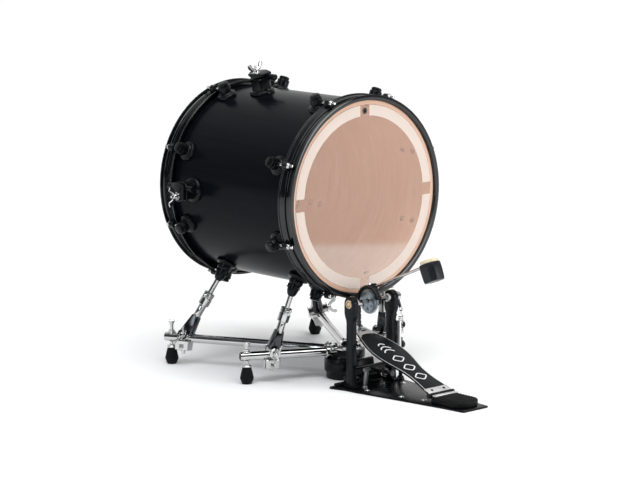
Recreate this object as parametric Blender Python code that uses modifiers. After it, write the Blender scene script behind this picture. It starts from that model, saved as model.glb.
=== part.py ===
"""Bass drum on a four-legged lift, with its pedal attached.

The drum's axis runs along Y, the batter head faces -Y, and +Z is up. Everything hangs from one
empty on the drum's axis, so positions below are measured from the middle of the drum. Metres.
"""

import math

import bmesh
import bpy
from mathutils import Vector

# Driving dimensions
GAP = 0.0003  # clearance between pieces that touch
FLOOR = -0.391  # the floor, below the drum's axis
FRAME_ORIGIN = (0.0105, 0.1691, -FLOOR)  # the middle of the drum, in the part's own frame

# Drum
SHELL_R = 0.2032
SHELL_WALL = 0.007
SHELL_HALF = 0.2032
HOOP_R = 0.216
HOOP_RIM_Y = 0.2105
HOOP_SKIRT_Y = 0.172
RIM_INNER_R = 0.2046
SKIRT_INNER_R = 0.2102
FLESH_R = 0.2098
LUG_COUNT = 8
LUG_Y = 0.147
LUG_BASE_R = 0.021
LUG_BARREL_R = 0.0132
LUG_TOP_R = 0.2360
TENSION_R = 0.2195

# Brackets for a tom arm (top) and an accessory arm (side)
TOP_BRACKET = (101.0, 0.075)  # angle round the shell in degrees, and y
SIDE_BRACKET = (180.0, 0.112)
SOCKET_R = 0.0064
SOCKET_OFFSET = 0.009  # how far the arm and the stud each lie beside the bracket's middle
JAW_SPLIT_R = 0.2380  # radius at which the loose jaw meets the bracket
JAW_TOP_R = 0.2490
JAW_SIZE = (0.036, 0.040)  # along the drum, and round it

# Lift
TUBE_Z = FLOOR + 0.059
TUBE_R = 0.0095
HUB_X = -0.012
HUB_Y = -0.171
HUB_R = 0.034
HUB_BODY = (-0.021, -0.162)  # the middle of the round body that stands under the hub
ARM_OVERHANG = 0.015  # how far each arm runs past its foot
FOOT_SPOTS = ((-0.204, 0.188), (-0.213, -0.071), (0.236, 0.207), (0.200, -0.090))
CLAMP_SHARES = (0.928, 0.76, 0.905, 0.76)  # how far out along its arm each leg is clamped
BRACKET_Y = (0.107, -0.125, 0.107, -0.125)
BRACKET_ANGLE = 235.5
BRACKET_REACH = 0.229
NOSE_HALF = 0.018  # half the length of the nose that takes each leg's rod
CLAMP_R = 0.0165
CLAMP_HALF = 0.013
LEG_JOINT_SHARE = 0.60  # how far up the leg its lower tube ends
LEG_TUBE_R = 0.0085
LEG_ROD_R = 0.0058

# Pedal
PEDAL_X = -0.0288
POST_HALF = 0.0575
AXLE_Y = -0.257
AXLE_Z = -0.2097
AXLE_R = 0.0052
CAM_R = 0.0275
CAM_X = PEDAL_X - 0.007
ROD_X = PEDAL_X + 0.010
ROD_TILT = 23.4  # degrees above horizontal, leaning back from the head at rest
ROD_OFFSET = 0.025  # the beater rod's distance from the axle
ROD_R = 0.0031
BEATER_REACH = 0.186
HINGE_Y = -0.4625
HINGE_Z = FLOOR + 0.017
HEEL_HALF = 0.036
HEEL_HEIGHT = 0.0125
HEEL_ROUND_Y = -0.522  # where the heel plate's round end begins
BOARD_LENGTH = 0.262
BOARD_RISE = 21.4  # degrees
BOARD_THICK = 0.004
PLATE_THICK = 0.004
CHAIN_END_Z = -0.2730  # where the chain meets the footboard
ANCHOR_Z = FLOOR + 0.094  # top of the post that the return spring hooks on

COLOURS = {
    "black_lacquer": ((0.012, 0.013, 0.015), 0.35, 0.0),
    "black_metal": ((0.015, 0.015, 0.017), 0.38, 0.5),
    "chrome": ((0.78, 0.79, 0.80), 0.12, 1.0),
    "steel": ((0.30, 0.34, 0.37), 0.32, 1.0),
    "rubber": ((0.012, 0.012, 0.012), 0.70, 0.0),
    "clear_film": ((0.88, 0.68, 0.54), 0.20, 0.0),
    "coated_film": ((0.80, 0.76, 0.71), 0.45, 0.0),
    "board_black": ((0.018, 0.018, 0.02), 0.50, 0.2),
}


def clear_scene():
    for obj in list(bpy.data.objects):
        bpy.data.objects.remove(obj)


def new_collection(name, hidden):
    found = bpy.data.collections.new(name)
    bpy.context.scene.collection.children.link(found)
    found.hide_render = hidden
    return found


def make_materials():
    made = {}
    for name, (colour, roughness, metallic) in COLOURS.items():
        material = bpy.data.materials.new(name)
        material.use_nodes = True
        shader = material.node_tree.nodes["Principled BSDF"]
        shader.inputs["Base Color"].default_value = (*colour, 1.0)
        shader.inputs["Roughness"].default_value = roughness
        shader.inputs["Metallic"].default_value = metallic
        made[name] = material
    return made


clear_scene()
PARTS = new_collection("bass_drum", hidden=False)
CUTTERS = new_collection("cutters", hidden=True)
MATERIALS = make_materials()
FRAME = bpy.data.objects.new("drum_frame", None)
FRAME.location = FRAME_ORIGIN
PARTS.objects.link(FRAME)


# Helpers that make one object each


def add(name, mesh, material):
    obj = bpy.data.objects.new(name, mesh)
    PARTS.objects.link(obj)
    obj.parent = FRAME
    if material:
        mesh.materials.append(MATERIALS[material])
    return obj


def aim(obj, direction):
    """Turns the object so that its own Z points along the direction."""
    obj.rotation_mode = "QUATERNION"
    obj.rotation_quaternion = Vector(direction).to_track_quat("Z", "Y")
    return obj


def rod(name, start, end, radius, material=None, sides=16, end_radius=None):
    """A straight round bar, or a cone where end_radius is given."""
    start, end = Vector(start), Vector(end)
    mesh = bpy.data.meshes.new(name)
    shape = bmesh.new()
    bmesh.ops.create_cone(
        shape,
        cap_ends=True,
        segments=sides,
        radius1=radius,
        radius2=radius if end_radius is None else end_radius,
        depth=(end - start).length,
    )
    shape.to_mesh(mesh)
    shape.free()
    obj = add(name, mesh, material)
    obj.location = (start + end) / 2
    return aim(obj, end - start)


def block(name, centre, size, material=None, bevel=0.0):
    mesh = bpy.data.meshes.new(name)
    shape = bmesh.new()
    bmesh.ops.create_cube(shape, size=1.0)
    bmesh.ops.scale(shape, vec=size, verts=shape.verts)
    shape.to_mesh(mesh)
    shape.free()
    obj = add(name, mesh, material)
    obj.location = centre
    if bevel:
        soften = obj.modifiers.new("edges", "BEVEL")
        soften.width = bevel
        soften.segments = 1
    return obj


def turned(name, profile, centre, direction, material=None, steps=24, ring=False):
    """A solid turned about the direction. The profile's (radius, height) points run down its
    outer side from top to bottom, and back up the inner side where it is a ring."""
    mesh = bpy.data.meshes.new(name)
    shape = bmesh.new()
    points = [shape.verts.new((radius, 0.0, height)) for radius, height in profile]
    pairs = list(zip(points, points[1:]))
    if ring:
        pairs.append((points[-1], points[0]))
    for first, second in pairs:
        shape.edges.new((first, second))
    shape.to_mesh(mesh)
    shape.free()
    obj = add(name, mesh, material)
    screw = obj.modifiers.new("turn", "SCREW")
    screw.steps = steps
    screw.render_steps = steps
    screw.use_merge_vertices = True
    screw.merge_threshold = 0.00001
    obj.location = centre
    return aim(obj, direction)


def plate(name, outline, thickness, material=None):
    """A flat plate lying in its own XY plane, from z = 0 up to its thickness."""
    curve = bpy.data.curves.new(name, "CURVE")
    curve.dimensions = "2D"
    curve.fill_mode = "BOTH"
    curve.extrude = thickness / 2
    spline = curve.splines.new("POLY")
    spline.points.add(len(outline) - 1)
    for point, (x, y) in zip(spline.points, outline):
        point.co = (x, y, 0.0, 1.0)
    spline.use_cyclic_u = True
    sheet = bpy.data.objects.new(f"{name}_outline", curve)
    mesh = bpy.data.meshes.new_from_object(sheet)
    bpy.data.objects.remove(sheet)
    shape = bmesh.new()
    shape.from_mesh(mesh)
    bmesh.ops.remove_doubles(shape, verts=shape.verts, dist=0.00001)
    bmesh.ops.translate(shape, vec=(0.0, 0.0, thickness / 2), verts=shape.verts)
    shape.to_mesh(mesh)
    shape.free()
    return add(name, mesh, material)


def combine(base, others, operation):
    """Joins the others to the base, or cuts them from it, with exact Booleans."""
    for other in others:
        PARTS.objects.unlink(other)
        CUTTERS.objects.link(other)
        other.hide_render = True
        other.display_type = "WIRE"
        modifier = base.modifiers.new(other.name, "BOOLEAN")
        modifier.operation = operation
        modifier.object = other
    return base


def mirrored(points):
    """An outline given on its +X side only, closed by its mirror image."""
    return points + [(-x, y) for x, y in reversed(points)]


def on_shell(angle, radius, y):
    turn = math.radians(angle)
    return Vector((radius * math.cos(turn), y, radius * math.sin(turn)))


def outward(angle):
    return on_shell(angle, 1.0, 0.0)


# Drum


def make_shell():
    inner = SHELL_R - SHELL_WALL
    bevel = 0.004
    profile = [
        (SHELL_R, SHELL_HALF - bevel / 4),
        (SHELL_R, -SHELL_HALF + bevel / 4),
        (SHELL_R - bevel / 4, -SHELL_HALF),
        (inner, -SHELL_HALF + bevel),
        (inner, SHELL_HALF - bevel),
        (SHELL_R - bevel / 4, SHELL_HALF),
    ]
    turned("shell", profile, (0, 0, 0), (0, 1, 0), "black_lacquer", steps=48, ring=True)


def make_head(name, side, material):
    """A stretched film, folded down over the bearing edge into its flesh hoop. The side is
    -1 at the front and +1 at the back."""
    film_low = SHELL_HALF + GAP
    film_high = film_low + 0.0009
    skirt_in = SHELL_R + 0.0004
    skirt_out = skirt_in + 0.0007
    flesh_top = 0.1862
    flesh_low = 0.1765
    profile = [
        (0.0, film_high),
        (skirt_out - 0.0008, film_high),
        (skirt_out, film_high - 0.0008),
        (skirt_out, flesh_top),
        (FLESH_R, flesh_top),
        (FLESH_R, flesh_low),
        (skirt_in, flesh_low),
        (skirt_in, film_low),
        (0.0, film_low),
    ]
    turned(name, profile, (0, 0, 0), (0, side, 0), material, steps=48)


def make_hoop(name, side):
    """A flanged steel counter hoop, with one ear for each tension rod."""
    step_y = 0.1866
    wall = 0.0024
    profile = [
        (HOOP_R, HOOP_RIM_Y),
        (HOOP_R, HOOP_RIM_Y - wall),
        (RIM_INNER_R + wall, HOOP_RIM_Y - 2 * wall),
        (RIM_INNER_R + wall, step_y + wall),
        (SKIRT_INNER_R + wall, step_y + wall),
        (SKIRT_INNER_R + wall, HOOP_SKIRT_Y + wall),
        (HOOP_R, HOOP_SKIRT_Y + wall),
        (HOOP_R, HOOP_SKIRT_Y),
        (SKIRT_INNER_R, HOOP_SKIRT_Y),
        (SKIRT_INNER_R, step_y),
        (RIM_INNER_R, step_y),
        (RIM_INNER_R, HOOP_RIM_Y),
    ]
    hoop = turned(name, profile, (0, 0, 0), (0, side, 0), "black_metal", steps=48, ring=True)
    ears = []
    for index in range(LUG_COUNT):
        angle = 22.5 + index * 360 / LUG_COUNT
        middle = on_shell(angle, TENSION_R + 0.0005, side * 0.1835)
        ear = block(f"{name}_ear_{index + 1}", middle, (0.017, 0.0105, 0.013))
        ear.rotation_euler = (0, math.radians(-angle), 0)
        ears.append(ear)
    combine(hoop, ears, "UNION")


def make_lug(name, angle, y):
    """A round turret lug: a wide base on the shell and a barrel for the tension rod."""
    foot = SHELL_R + GAP
    base_top = foot + 0.0058
    profile = [
        (0.0, LUG_TOP_R),
        (LUG_BARREL_R - 0.002, LUG_TOP_R),
        (LUG_BARREL_R, LUG_TOP_R - 0.002),
        (LUG_BARREL_R, base_top + 0.001),
        (LUG_BASE_R - 0.002, base_top),
        (LUG_BASE_R, foot + 0.003),
        (LUG_BASE_R, foot),
        (0.0, foot),
    ]
    turned(name, profile, (0, y, 0), outward(angle), "black_metal", steps=16)


def make_lugs():
    for index in range(LUG_COUNT):
        angle = 112.5 + index * 360 / LUG_COUNT
        make_lug(f"batter_lug_{index + 1}", angle, -LUG_Y)
        make_lug(f"resonant_lug_{index + 1}", angle, LUG_Y)


# Accessory brackets


def shell_block(name, angle, y, low, high, length, width, material=None):
    """A block standing on the shell, from radius low to high, long in y."""
    obj = block(name, on_shell(angle, (low + high) / 2, y), (high - low, length, width), material)
    obj.rotation_euler = (0, math.radians(-angle), 0)
    return obj


def make_arm_bracket(name, angle, y):
    """A round base and block, a loose jaw, and the wing nut that closes the jaw on an arm. The
    arm's round socket runs along Y between block and jaw."""
    foot = SHELL_R + GAP
    base = turned(
        f"{name}_bracket",
        [(0.0, foot + 0.006), (0.025, foot + 0.006), (0.027, foot + 0.004), (0.027, foot), (0.0, foot)],
        (0, y, 0),
        outward(angle),
        "black_metal",
        steps=24,
    )
    body = shell_block(f"{name}_body", angle, y, foot + 0.003, JAW_SPLIT_R - GAP, *JAW_SIZE)
    combine(base, [body], "UNION")
    jaw = shell_block(f"{name}_jaw", angle, y, JAW_SPLIT_R, JAW_TOP_R, *JAW_SIZE, "black_metal")
    stud_side = outward(angle).cross(Vector((0, 1, 0))) * SOCKET_OFFSET
    middle = on_shell(angle, JAW_SPLIT_R, y) - stud_side
    for owner, label in ((base, "lower"), (jaw, "upper")):
        start = middle - Vector((0, 0.03, 0))
        end = middle + Vector((0, 0.03, 0))
        hole = rod(f"{name}_socket_{label}", start, end, SOCKET_R, sides=16)
        combine(owner, [hole], "DIFFERENCE")
    make_wing_nut(f"{name}_wing_nut", on_shell(angle, JAW_TOP_R + GAP, y) + stud_side, angle)


def make_wing_nut(name, foot, angle):
    """A hub with two wings that flare outward, turning on the jaw's stud."""
    out = outward(angle)
    across = out.cross(Vector((0, 1, 0)))
    hub = rod(name, foot, foot + out * 0.010, 0.0065, "chrome", sides=16, end_radius=0.005)
    wings = []
    for side in (-1, 1):
        start = foot + out * 0.004 + across * side * 0.002
        end = foot + out * 0.021 + across * side * 0.016
        wings.append(rod(f"{name}_wing_{side}", start, end, 0.003, sides=8, end_radius=0.0045))
    combine(hub, wings, "UNION")


# Lift


def leg_line(index):
    """The clamp's middle on the arm, and the end of the bracket's nose, of one leg."""
    hub = Vector((HUB_X, HUB_Y, TUBE_Z))
    foot = Vector((*FOOT_SPOTS[index], TUBE_Z))
    low = hub.lerp(foot, CLAMP_SHARES[index])
    side = -1 if FOOT_SPOTS[index][0] < 0 else 1
    high = on_shell(BRACKET_ANGLE, BRACKET_REACH, BRACKET_Y[index])
    high.x = side * abs(high.x)
    return low, high


def make_leg_bracket(index):
    """A round base on the shell with a ball-shaped body and a nose that takes the leg's rod."""
    low, high = leg_line(index)
    angle = math.degrees(math.atan2(high.z, high.x))
    foot = SHELL_R + GAP
    profile = [
        (0.0, foot + 0.024),
        (0.010, foot + 0.022),
        (0.015, foot + 0.014),
        (0.016, foot + 0.006),
        (0.021, foot + 0.005),
        (0.022, foot + 0.003),
        (0.022, foot),
        (0.0, foot),
    ]
    centre = (0, high.y, 0)
    base = turned(f"leg_bracket_{index + 1}", profile, centre, outward(angle), "black_metal", steps=16)
    down = (low - high).normalized()
    nose = rod(
        f"leg_nose_{index + 1}",
        high - down * NOSE_HALF,
        high + down * NOSE_HALF,
        0.0115,
        sides=16,
        end_radius=0.0090,
    )
    combine(base, [nose], "UNION")


def make_leg(index):
    """The clamp round the arm with the leg's lower tube, and the rod that slides out of it."""
    low, high = leg_line(index)
    up = (high - low).normalized()
    arm = Vector((FOOT_SPOTS[index][0] - HUB_X, FOOT_SPOTS[index][1] - HUB_Y, 0)).normalized()
    bore = TUBE_R + GAP
    ring = [(CLAMP_R, CLAMP_HALF), (CLAMP_R, -CLAMP_HALF), (bore, -CLAMP_HALF), (bore, CLAMP_HALF)]
    clamp = turned(f"leg_clamp_{index + 1}", ring, low, arm, "chrome", steps=16, ring=True)
    joint = low + up * ((high - low).length * LEG_JOINT_SHARE)
    lean = up.angle(arm)
    clear = (bore + 0.0008 + LEG_TUBE_R * abs(math.cos(lean))) / math.sin(lean)
    tube = rod(f"leg_tube_{index + 1}", low + up * clear, joint, LEG_TUBE_R, sides=16)
    combine(clamp, [tube], "UNION")
    top = high - up * (NOSE_HALF + GAP)
    rod(f"leg_rod_{index + 1}", joint + up * GAP, top, LEG_ROD_R, "chrome")


def make_arm(index):
    """One tube of the lift, from the hub to just past its foot."""
    hub = Vector((HUB_X, HUB_Y, TUBE_Z))
    foot = Vector((*FOOT_SPOTS[index], TUBE_Z))
    along = (foot - hub).normalized()
    start = hub + along * (HUB_R + GAP)
    rod(f"lift_arm_{index + 1}", start, foot + along * ARM_OVERHANG, TUBE_R, "chrome")


def make_foot(index):
    """A rubber foot on its levelling screw, under the end of an arm."""
    x, y = FOOT_SPOTS[index]
    stem_top = TUBE_Z - TUBE_R - GAP - FLOOR
    profile = [
        (0.0, stem_top),
        (0.004, stem_top),
        (0.004, 0.037),
        (0.0085, 0.036),
        (0.0142, 0.014),
        (0.0142, 0.010),
        (0.0098, 0.0),
        (0.0, 0.0),
    ]
    turned(f"rubber_foot_{index + 1}", profile, (x, y, FLOOR), (0, 0, 1), "rubber", steps=16)


def make_hub():
    """The deck between the four arms, on a round body that stands on the floor."""
    deck = [
        (0.0, TUBE_Z + 0.005),
        (HUB_R - 0.002, TUBE_Z + 0.005),
        (HUB_R, TUBE_Z + 0.003),
        (HUB_R, TUBE_Z - 0.0135),
        (0.0, TUBE_Z - 0.0135),
    ]
    hub = turned("lift_hub", deck, (HUB_X, HUB_Y, 0), (0, 0, 1), "black_metal", steps=16)
    body = [
        (0.0, 0.052),
        (0.018, 0.052),
        (0.018, 0.045),
        (0.038, 0.045),
        (0.040, 0.043),
        (0.040, 0.016),
        (0.036, 0.014),
        (0.036, 0.0005),
        (0.0, 0.0005),
    ]
    combine(hub, [turned("hub_body", body, (*HUB_BODY, FLOOR), (0, 0, 1), steps=20)], "UNION")


# Pedal


def make_base_plate():
    """The floor plate, wide under the posts and narrow at the heel."""
    outline = mirrored(
        [
            (0.036, -0.563),
            (0.041, -0.510),
            (0.058, -0.400),
            (0.076, -0.290),
            (0.079, -0.258),
            (0.090, -0.226),
            (0.086, -0.2205),
            (0.050, -0.2165),
        ]
    )
    base = plate("pedal_base", outline, PLATE_THICK, "black_metal")
    base.location = (PEDAL_X, 0, FLOOR)
    pin = spring_pin()
    anchor = rod("spring_anchor", (pin.x, pin.y, FLOOR + 0.002), (pin.x, pin.y, ANCHOR_Z), 0.0042)
    combine(base, [anchor], "UNION")


def make_post(name, side):
    """An upright with a round bearing head at its top."""
    x = PEDAL_X + side * POST_HALF
    foot = FLOOR + PLATE_THICK + GAP
    middle = (x, AXLE_Y, (foot + AXLE_Z) / 2)
    post = block(name, middle, (0.011, 0.014, AXLE_Z - foot), "black_metal", bevel=0.001)
    half = Vector((0.007, 0, 0))
    centre = Vector((x, AXLE_Y, AXLE_Z))
    head = rod(f"{name}_head", centre - half, centre + half, 0.016, sides=24)
    combine(post, [head], "UNION")
    bore = rod(f"{name}_bore", centre - 2 * half, centre + 2 * half, AXLE_R + 0.0006, sides=16)
    combine(post, [bore], "DIFFERENCE")


def spring_pin():
    """Where the return spring hooks on the axle's lever."""
    return Vector((PEDAL_X + POST_HALF + 0.0165, AXLE_Y - 0.012, AXLE_Z - 0.026))


def make_axle():
    """The hexagonal axle, with the spring's lever pinned on its right end."""
    start = (PEDAL_X - POST_HALF - 0.006, AXLE_Y, AXLE_Z)
    end = (PEDAL_X + POST_HALF + 0.024, AXLE_Y, AXLE_Z)
    axle = rod("axle", start, end, AXLE_R, "chrome", sides=6)
    pin = spring_pin()
    middle = Vector((pin.x, AXLE_Y, AXLE_Z))
    half = Vector((0.004, 0, 0))
    collar = rod("lever_collar", middle - half, middle + half, 0.009, sides=16)
    lever = rod("lever_arm", middle, pin, 0.0035, sides=8)
    combine(axle, [collar, lever], "UNION")


def make_cam():
    """The grooved cam that the chain pulls, clamped on the axle."""
    groove = CAM_R - 0.003
    profile = [
        (CAM_R, 0.0055),
        (CAM_R, 0.0035),
        (groove, 0.0025),
        (groove, -0.0025),
        (CAM_R, -0.0035),
        (CAM_R, -0.0055),
        (AXLE_R + GAP, -0.0055),
        (AXLE_R + GAP, 0.0055),
    ]
    turned("cam", profile, (CAM_X, AXLE_Y, AXLE_Z), (1, 0, 0), "steel", steps=32, ring=True)


def rod_frame():
    """The beater rod's direction, away from the axle, and the direction that faces the drum."""
    tilt = math.radians(ROD_TILT)
    along = Vector((0, -math.cos(tilt), math.sin(tilt)))
    facing = Vector((0, math.sin(tilt), math.cos(tilt)))
    return along, facing


def make_beater_hub():
    """The collar on the axle with the block that clamps the beater's rod."""
    along, facing = rod_frame()
    axle = Vector((ROD_X, AXLE_Y, AXLE_Z))
    ring = [(0.012, 0.009), (0.012, -0.009), (AXLE_R + GAP, -0.009), (AXLE_R + GAP, 0.009)]
    hub = turned("beater_hub", ring, axle, (1, 0, 0), "black_metal", steps=24, ring=True)
    clamp = block("beater_clamp", axle + facing * 0.0200, (0.018, 0.022, 0.026))
    clamp.rotation_euler = (math.radians(-ROD_TILT), 0, 0)
    combine(hub, [clamp], "UNION")
    middle = axle + facing * ROD_OFFSET
    bore = rod("rod_bore", middle - along * 0.03, middle + along * 0.03, ROD_R + GAP, sides=12)
    combine(hub, [bore], "DIFFERENCE")


def make_beater():
    along, facing = rod_frame()
    line = Vector((ROD_X, AXLE_Y, AXLE_Z)) + facing * ROD_OFFSET
    start = line - along * 0.020
    rod("beater_rod", start, line + along * (BEATER_REACH - 0.019), ROD_R, "chrome", sides=12)
    head_centre = line + along * (BEATER_REACH + GAP) - facing * 0.012
    head = block("beater_head", head_centre, (0.036, 0.038, 0.044), "board_black", bevel=0.004)
    head.rotation_euler = (math.radians(-ROD_TILT), 0, 0)


def make_spring():
    """The return spring, hanging from the axle's lever down to the anchor on the floor plate."""
    pin = spring_pin()
    bottom = (pin.x, pin.y, ANCHOR_Z + GAP)
    rod("return_spring", bottom, pin + Vector((0, 0, -0.0045)), 0.0055, "chrome", sides=12)


def make_footboard():
    """The long footboard with its widest place under the ball of the foot."""
    outline = mirrored(
        [
            (0.034, 0.002),
            (0.030, 0.030),
            (0.0265, 0.070),
            (0.032, 0.102),
            (0.042, 0.142),
            (0.043, 0.165),
            (0.038, 0.198),
            (0.025, 0.236),
            (0.015, BOARD_LENGTH),
        ]
    )
    board = plate("footboard", outline, BOARD_THICK, "board_black")
    board.location = (PEDAL_X, HINGE_Y, HINGE_Z)
    board.rotation_euler = (math.radians(BOARD_RISE), 0, 0)
    hinge = Vector((PEDAL_X, HINGE_Y, HINGE_Z))
    half = Vector((0.028, 0, 0))
    barrel = rod("board_barrel", hinge - half, hinge + half, 0.0042)
    combine(board, [barrel], "UNION")


def make_heel_plate():
    """The rounded heel plate, fixed on the floor plate in front of the hinge."""
    steps = 10
    bulge = 0.030
    turns = [math.pi * step / steps for step in range(steps + 1)]
    curve = [(HEEL_HALF * math.cos(turn), HEEL_ROUND_Y - bulge * math.sin(turn)) for turn in turns]
    back_y = HINGE_Y - 0.008
    outline = curve + [(-HEEL_HALF, back_y), (HEEL_HALF, back_y)]
    heel = plate("heel_plate", outline, HEEL_HEIGHT, "rubber")
    heel.location = (PEDAL_X, 0, FLOOR + PLATE_THICK + GAP)


def make_chain():
    """The straight run of the chain, from the cam's side to the toe of the footboard."""
    thick = 0.006
    y = AXLE_Y + CAM_R + GAP + thick / 2
    middle = (CAM_X, y, (AXLE_Z + CHAIN_END_Z) / 2)
    block("chain", middle, (0.009, thick, AXLE_Z - CHAIN_END_Z), "chrome")


def make_drum():
    make_shell()
    make_head("batter_head", -1, "clear_film")
    make_head("resonant_head", 1, "coated_film")
    make_hoop("batter_hoop", -1)
    make_hoop("resonant_hoop", 1)
    make_lugs()
    make_arm_bracket("top", *TOP_BRACKET)
    make_arm_bracket("side", *SIDE_BRACKET)


def make_lift():
    make_hub()
    for index in range(len(FOOT_SPOTS)):
        make_arm(index)
        make_foot(index)
        make_leg_bracket(index)
        make_leg(index)


def make_pedal():
    make_base_plate()
    make_post("pedal_post_left", -1)
    make_post("pedal_post_right", 1)
    make_axle()
    make_cam()
    make_beater_hub()
    make_beater()
    make_spring()
    make_footboard()
    make_heel_plate()
    make_chain()


make_drum()
make_lift()
make_pedal()
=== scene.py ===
"""Looks of the bass drum, its lift and its pedal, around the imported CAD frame."""

import math

import bmesh
import bpy
from mathutils import Matrix, Vector


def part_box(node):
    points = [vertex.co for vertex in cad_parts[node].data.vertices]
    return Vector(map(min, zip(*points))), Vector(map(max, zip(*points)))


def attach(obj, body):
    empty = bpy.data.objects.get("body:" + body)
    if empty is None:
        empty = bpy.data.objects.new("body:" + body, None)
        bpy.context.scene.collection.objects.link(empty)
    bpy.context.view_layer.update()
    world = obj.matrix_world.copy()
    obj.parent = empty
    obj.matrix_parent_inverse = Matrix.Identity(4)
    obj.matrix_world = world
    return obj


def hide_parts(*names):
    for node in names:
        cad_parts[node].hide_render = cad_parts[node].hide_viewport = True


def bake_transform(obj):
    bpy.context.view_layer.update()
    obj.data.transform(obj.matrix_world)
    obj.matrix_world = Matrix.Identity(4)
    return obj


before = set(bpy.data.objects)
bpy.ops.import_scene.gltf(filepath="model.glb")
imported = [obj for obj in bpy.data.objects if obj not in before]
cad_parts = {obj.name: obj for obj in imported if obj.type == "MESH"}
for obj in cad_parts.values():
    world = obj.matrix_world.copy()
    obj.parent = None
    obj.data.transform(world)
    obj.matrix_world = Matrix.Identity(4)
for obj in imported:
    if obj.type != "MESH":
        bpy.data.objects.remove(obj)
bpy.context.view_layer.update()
SHELL_LOW, SHELL_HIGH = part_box("shell")
CENTRE = (SHELL_LOW + SHELL_HIGH) / 2  # every place below is measured from the drum's middle
ORIGIN = (0, 0, 0)
ROOT = "drum_and_lift"
X, Y, Z = Vector((1, 0, 0)), Vector((0, 1, 0)), Vector((0, 0, 1))

# Drum, as in the CAD
FLOOR = -CENTRE.z
SHELL_R, SHELL_WALL, SHELL_HALF = 0.2032, 0.007, 0.2032
HOOP_R, HOOP_RIM_Y, HOOP_SKIRT_Y = 0.216, 0.2105, 0.172
RIM_INNER_R, SKIRT_INNER_R, FLESH_R = 0.2046, 0.2102, 0.2098
LUG_ANGLES = [112.5 + 45 * index for index in range(8)]
LUG_Y, LUG_TOP_R = 0.147, 0.2360
TENSION_R = 0.2195
EAR_R, EAR_Y, EAR_SIZE = 0.2170, 0.1835, (0.0175, 0.0125, 0.0120)
EAR_BOSS_Y, EAR_BOSS_R = (0.1765, 0.1905), 0.0070
FILM_R, FILM_LOW, FILM_HIGH = 0.1958, SHELL_HALF + 0.0004, SHELL_HALF + 0.0011
TOP_BRACKET, SIDE_BRACKET = (101.0, 0.075), (180.0, 0.112)
COAT_IN, COAT_OUT, COAT_GAP, COAT_THICK = 0.1715, 0.1945, 0.026, 0.00035
SOCKET_X, SOCKET_R = 0.009, 0.0064  # the arm's hole in a bracket, beside its stud
GASKET = 0.0003  # between the shell and what is screwed on it
BAR_EDGE = 0.0006  # the softening of a round bar's ends

# Lift
TUBE_Z, TUBE_R = FLOOR + 0.059, 0.0095
HUB = Vector((-0.012, -0.171, TUBE_Z))
HUB_R = 0.034
HUB_BODY = Vector((-0.021, -0.162, FLOOR))
FOOT_SPOTS = ((-0.204, 0.188), (-0.213, -0.071), (0.236, 0.207), (0.200, -0.090))
CLAMP_SHARES = (0.928, 0.76, 0.905, 0.76)
BRACKET_Y = (0.107, -0.125, 0.107, -0.125)
BRACKET_ANGLE, BRACKET_REACH = 235.5, 0.229

# Pedal
PEDAL_X, POST_HALF = -0.0288, 0.0575
AXLE_Y, AXLE_Z, AXLE_R = -0.257, -0.2097, 0.0052
CAM_X, CAM_R = PEDAL_X - 0.007, 0.0275
CHAIN_R = CAM_R + 0.0033
ROD_X, ROD_TILT, ROD_OFFSET = PEDAL_X + 0.010, math.radians(23.4), 0.025
BEATER_REACH = 0.186
HINGE = Vector((PEDAL_X, -0.4625, FLOOR + 0.017))
BOARD_LENGTH, BOARD_RISE = 0.262, math.radians(21.4)
BOARD_TOP, PAINT_HIGH, PAINT_WIDTH = 0.004, 0.0004, 0.0026
CLAMP_Y = -0.2300
PLATE_TOP = FLOOR + 0.004
ANCHOR_Z = FLOOR + 0.094
FACING_X = Matrix((Y, Z, X)).transposed()  # for outlines given as (y, z) and raised along x

# Camera and lights
AZIMUTH, ELEVATION, ROLL = math.radians(-42.15), math.radians(8.74), math.radians(-0.03)
CAMERA_DISTANCE, LENS, SHIFT = 5.709, 148.94, (0.0325, -0.0845)
SUN_ENERGY, SUN_SPREAD, SUN_FROM = 2.32, math.radians(50), Vector((-0.12, -0.36, 0.92))
WHITE_TOWARD, SURROUND_STRENGTH = (0.66, 0.73, 0.18), 0.80


# Shapes: each is (points, faces), measured from the drum's middle


def turn_to(direction, across=None):
    """A rotation whose Z is the direction, and whose X lies towards across where it is given."""
    z = Vector(direction).normalized()
    if across is None:
        return z.to_track_quat("Z", "Y").to_matrix()
    x = (across - across.dot(z) * z).normalized()
    return Matrix((x, z.cross(x), z)).transposed()


def around(steps):
    """The cosine and sine of each step of a full turn."""
    angles = [math.tau * step / steps for step in range(steps)]
    return [(math.cos(a), math.sin(a)) for a in angles]


def skin(rows, closed=False):
    """A surface over rows of points. The rows close into a ring, or both ends are capped."""
    count, size = len(rows), len(rows[0])
    faces = []
    for index in range(count if closed else count - 1):
        here, following = index * size, (index + 1) % count * size
        for step in range(size):
            after = (step + 1) % size
            faces.append([here + step, here + after, following + after, following + step])
    if not closed:
        faces.append(list(range(size))[::-1])
        faces.append([(count - 1) * size + step for step in range(size)])
    return [point for row in rows for point in row], faces


def turned(profile, centre, direction, steps=48, ring=False):
    """A profile of (radius, height) points, top to bottom on its outside, turned round."""
    basis = turn_to(direction)
    points, rows = [], []
    for radius, height in profile:
        if radius < 1e-6:
            rows.append([len(points)] * steps)
            points.append(Vector(centre) + basis @ Vector((0, 0, height)))
            continue
        rows.append(list(range(len(points), len(points) + steps)))
        for cos, sin in around(steps):
            points.append(Vector(centre) + basis @ Vector((radius * cos, radius * sin, height)))
    pairs = list(zip(rows, rows[1:])) + ([(rows[-1], rows[0])] if ring else [])
    faces = []
    for upper, lower in pairs:
        for step in range(steps):
            after = (step + 1) % steps
            face = list(dict.fromkeys([upper[step], lower[step], lower[after], upper[after]]))
            if len(face) > 2:
                faces.append(face)
    return points, faces


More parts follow.
